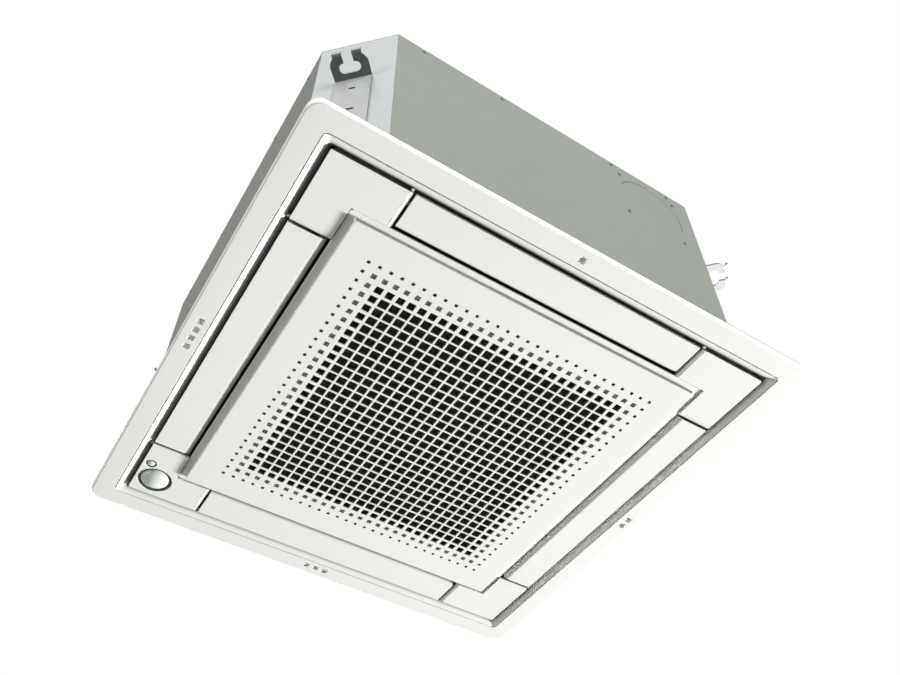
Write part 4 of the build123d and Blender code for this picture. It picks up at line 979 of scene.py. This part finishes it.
for next_reach, next_depth in lip:
    bpy.ops.mesh.extrude_region_move(
        TRANSFORM_OT_translate={"value": (0, 0, (next_depth - depth) * mm)})
    bpy.ops.transform.resize(value=(next_reach / reach, next_reach / reach, 1),
                             center_override=(0, 0, 0))
    reach, depth = next_reach, next_depth
close_mesh()
tidy(grille, "grille_skin", angle=30)
wall = grille.modifiers.new("plate_thickness", "SOLIDIFY")
wall.thickness = plate_thickness * mm
wall.offset = -1
wall.use_even_offset = False
only(grille)
bpy.ops.object.modifier_apply(modifier=wall.name)
lattice_back = grille_face + plate_thickness
choose_faces(grille, lambda c, n: n.z > 0.9 and abs(c.z - lattice_back) < 0.2
             and reach_of(c) < 12.6 * pitch)
bpy.ops.mesh.extrude_region_move(TRANSFORM_OT_translate={"value": (0, 0, lattice_rib * mm)})
close_mesh()
rooted = -9.3                 # the blocks behind the plate are sunk into its back
knuckle_gap, knuckle_width = 6.4, 7
guide_from, guide_to = 11.3, 14
back_parts = [grille]
for x in hinge_places:
    for way in (-1, 1):
        near = x + way * knuckle_gap
        knuckle = sorted((near, near + way * knuckle_width))
        back_parts.append(brick((knuckle[0], 211.2, rooted), (knuckle[1], 218.8, -1.6)))
        guide = sorted((x + way * guide_from, x + way * guide_to))
        back_parts.append(brick((guide[0], -216.5, rooted), (guide[1], -196, -2.5)))
grille = tidy(join_all(back_parts), "grille_plate", angle=30, soften=0.3)
# Painted shade turns the walls of the air holes a brownish dark further in.
grille_plastic = panel_plastic("grille_plastic", -11.2, -9.6, 163.0, deep=(0.085, 0.078, 0.055))
dress(grille, grille_plastic)


def in_dimple(centre, normal, row):
    return (-11.25 < centre.z < -7.4 and normal.z < 0.5 and 163 < reach_of(centre) < 190
            and cell_row(centre) == row)


# The walls and floors of the blind dimples are painted with shade, darker in the small, deeper ones.
tint_faces(grille, finish("dimple_shade", (0.46, 0.46, 0.41), (0.36, 0.36, 0.32), 0.6),
           lambda c, n: in_dimple(c, n, dimple[0]))
tint_faces(grille, finish("small_dimple_shade", (0.26, 0.26, 0.22), (0.22, 0.22, 0.19), 0.6),
           lambda c, n: in_dimple(c, n, small_dimple[0]))
tint_faces(grille, finish("step_shade", (0.33, 0.335, 0.295), (0.31, 0.315, 0.275), 0.6,
                          grain_depth=0.003),
           lambda c, n: 217.9 < reach_of(c) < 218.4 and -10.3 < c.z < -6.5)
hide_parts("suction_grille")
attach(grille, "suction_grille")
latch_white = finish("latch_plastic", (0.66, 0.66, 0.63), (0.62, 0.62, 0.59), 0.45)
paint(frame_plastic, "suction_grille")
paint(bright_steel, "grille_hinge_pins")
paint(latch_white, "grille_latch_left", "grille_latch_right")

# ---- Filter
# A dark net in a plastic frame clips on the grille behind the lattice, so the holes look almost
# black.
net = finish("filter_net", (0.022, 0.019, 0.012), (0.06, 0.054, 0.036), 0.8, mottle_scale=60)
frame_grey = finish("filter_frame_plastic", (0.03, 0.03, 0.028), (0.045, 0.045, 0.042), 0.6)
paint(frame_grey, "filter_frame")
paint(net, "filter_mesh")
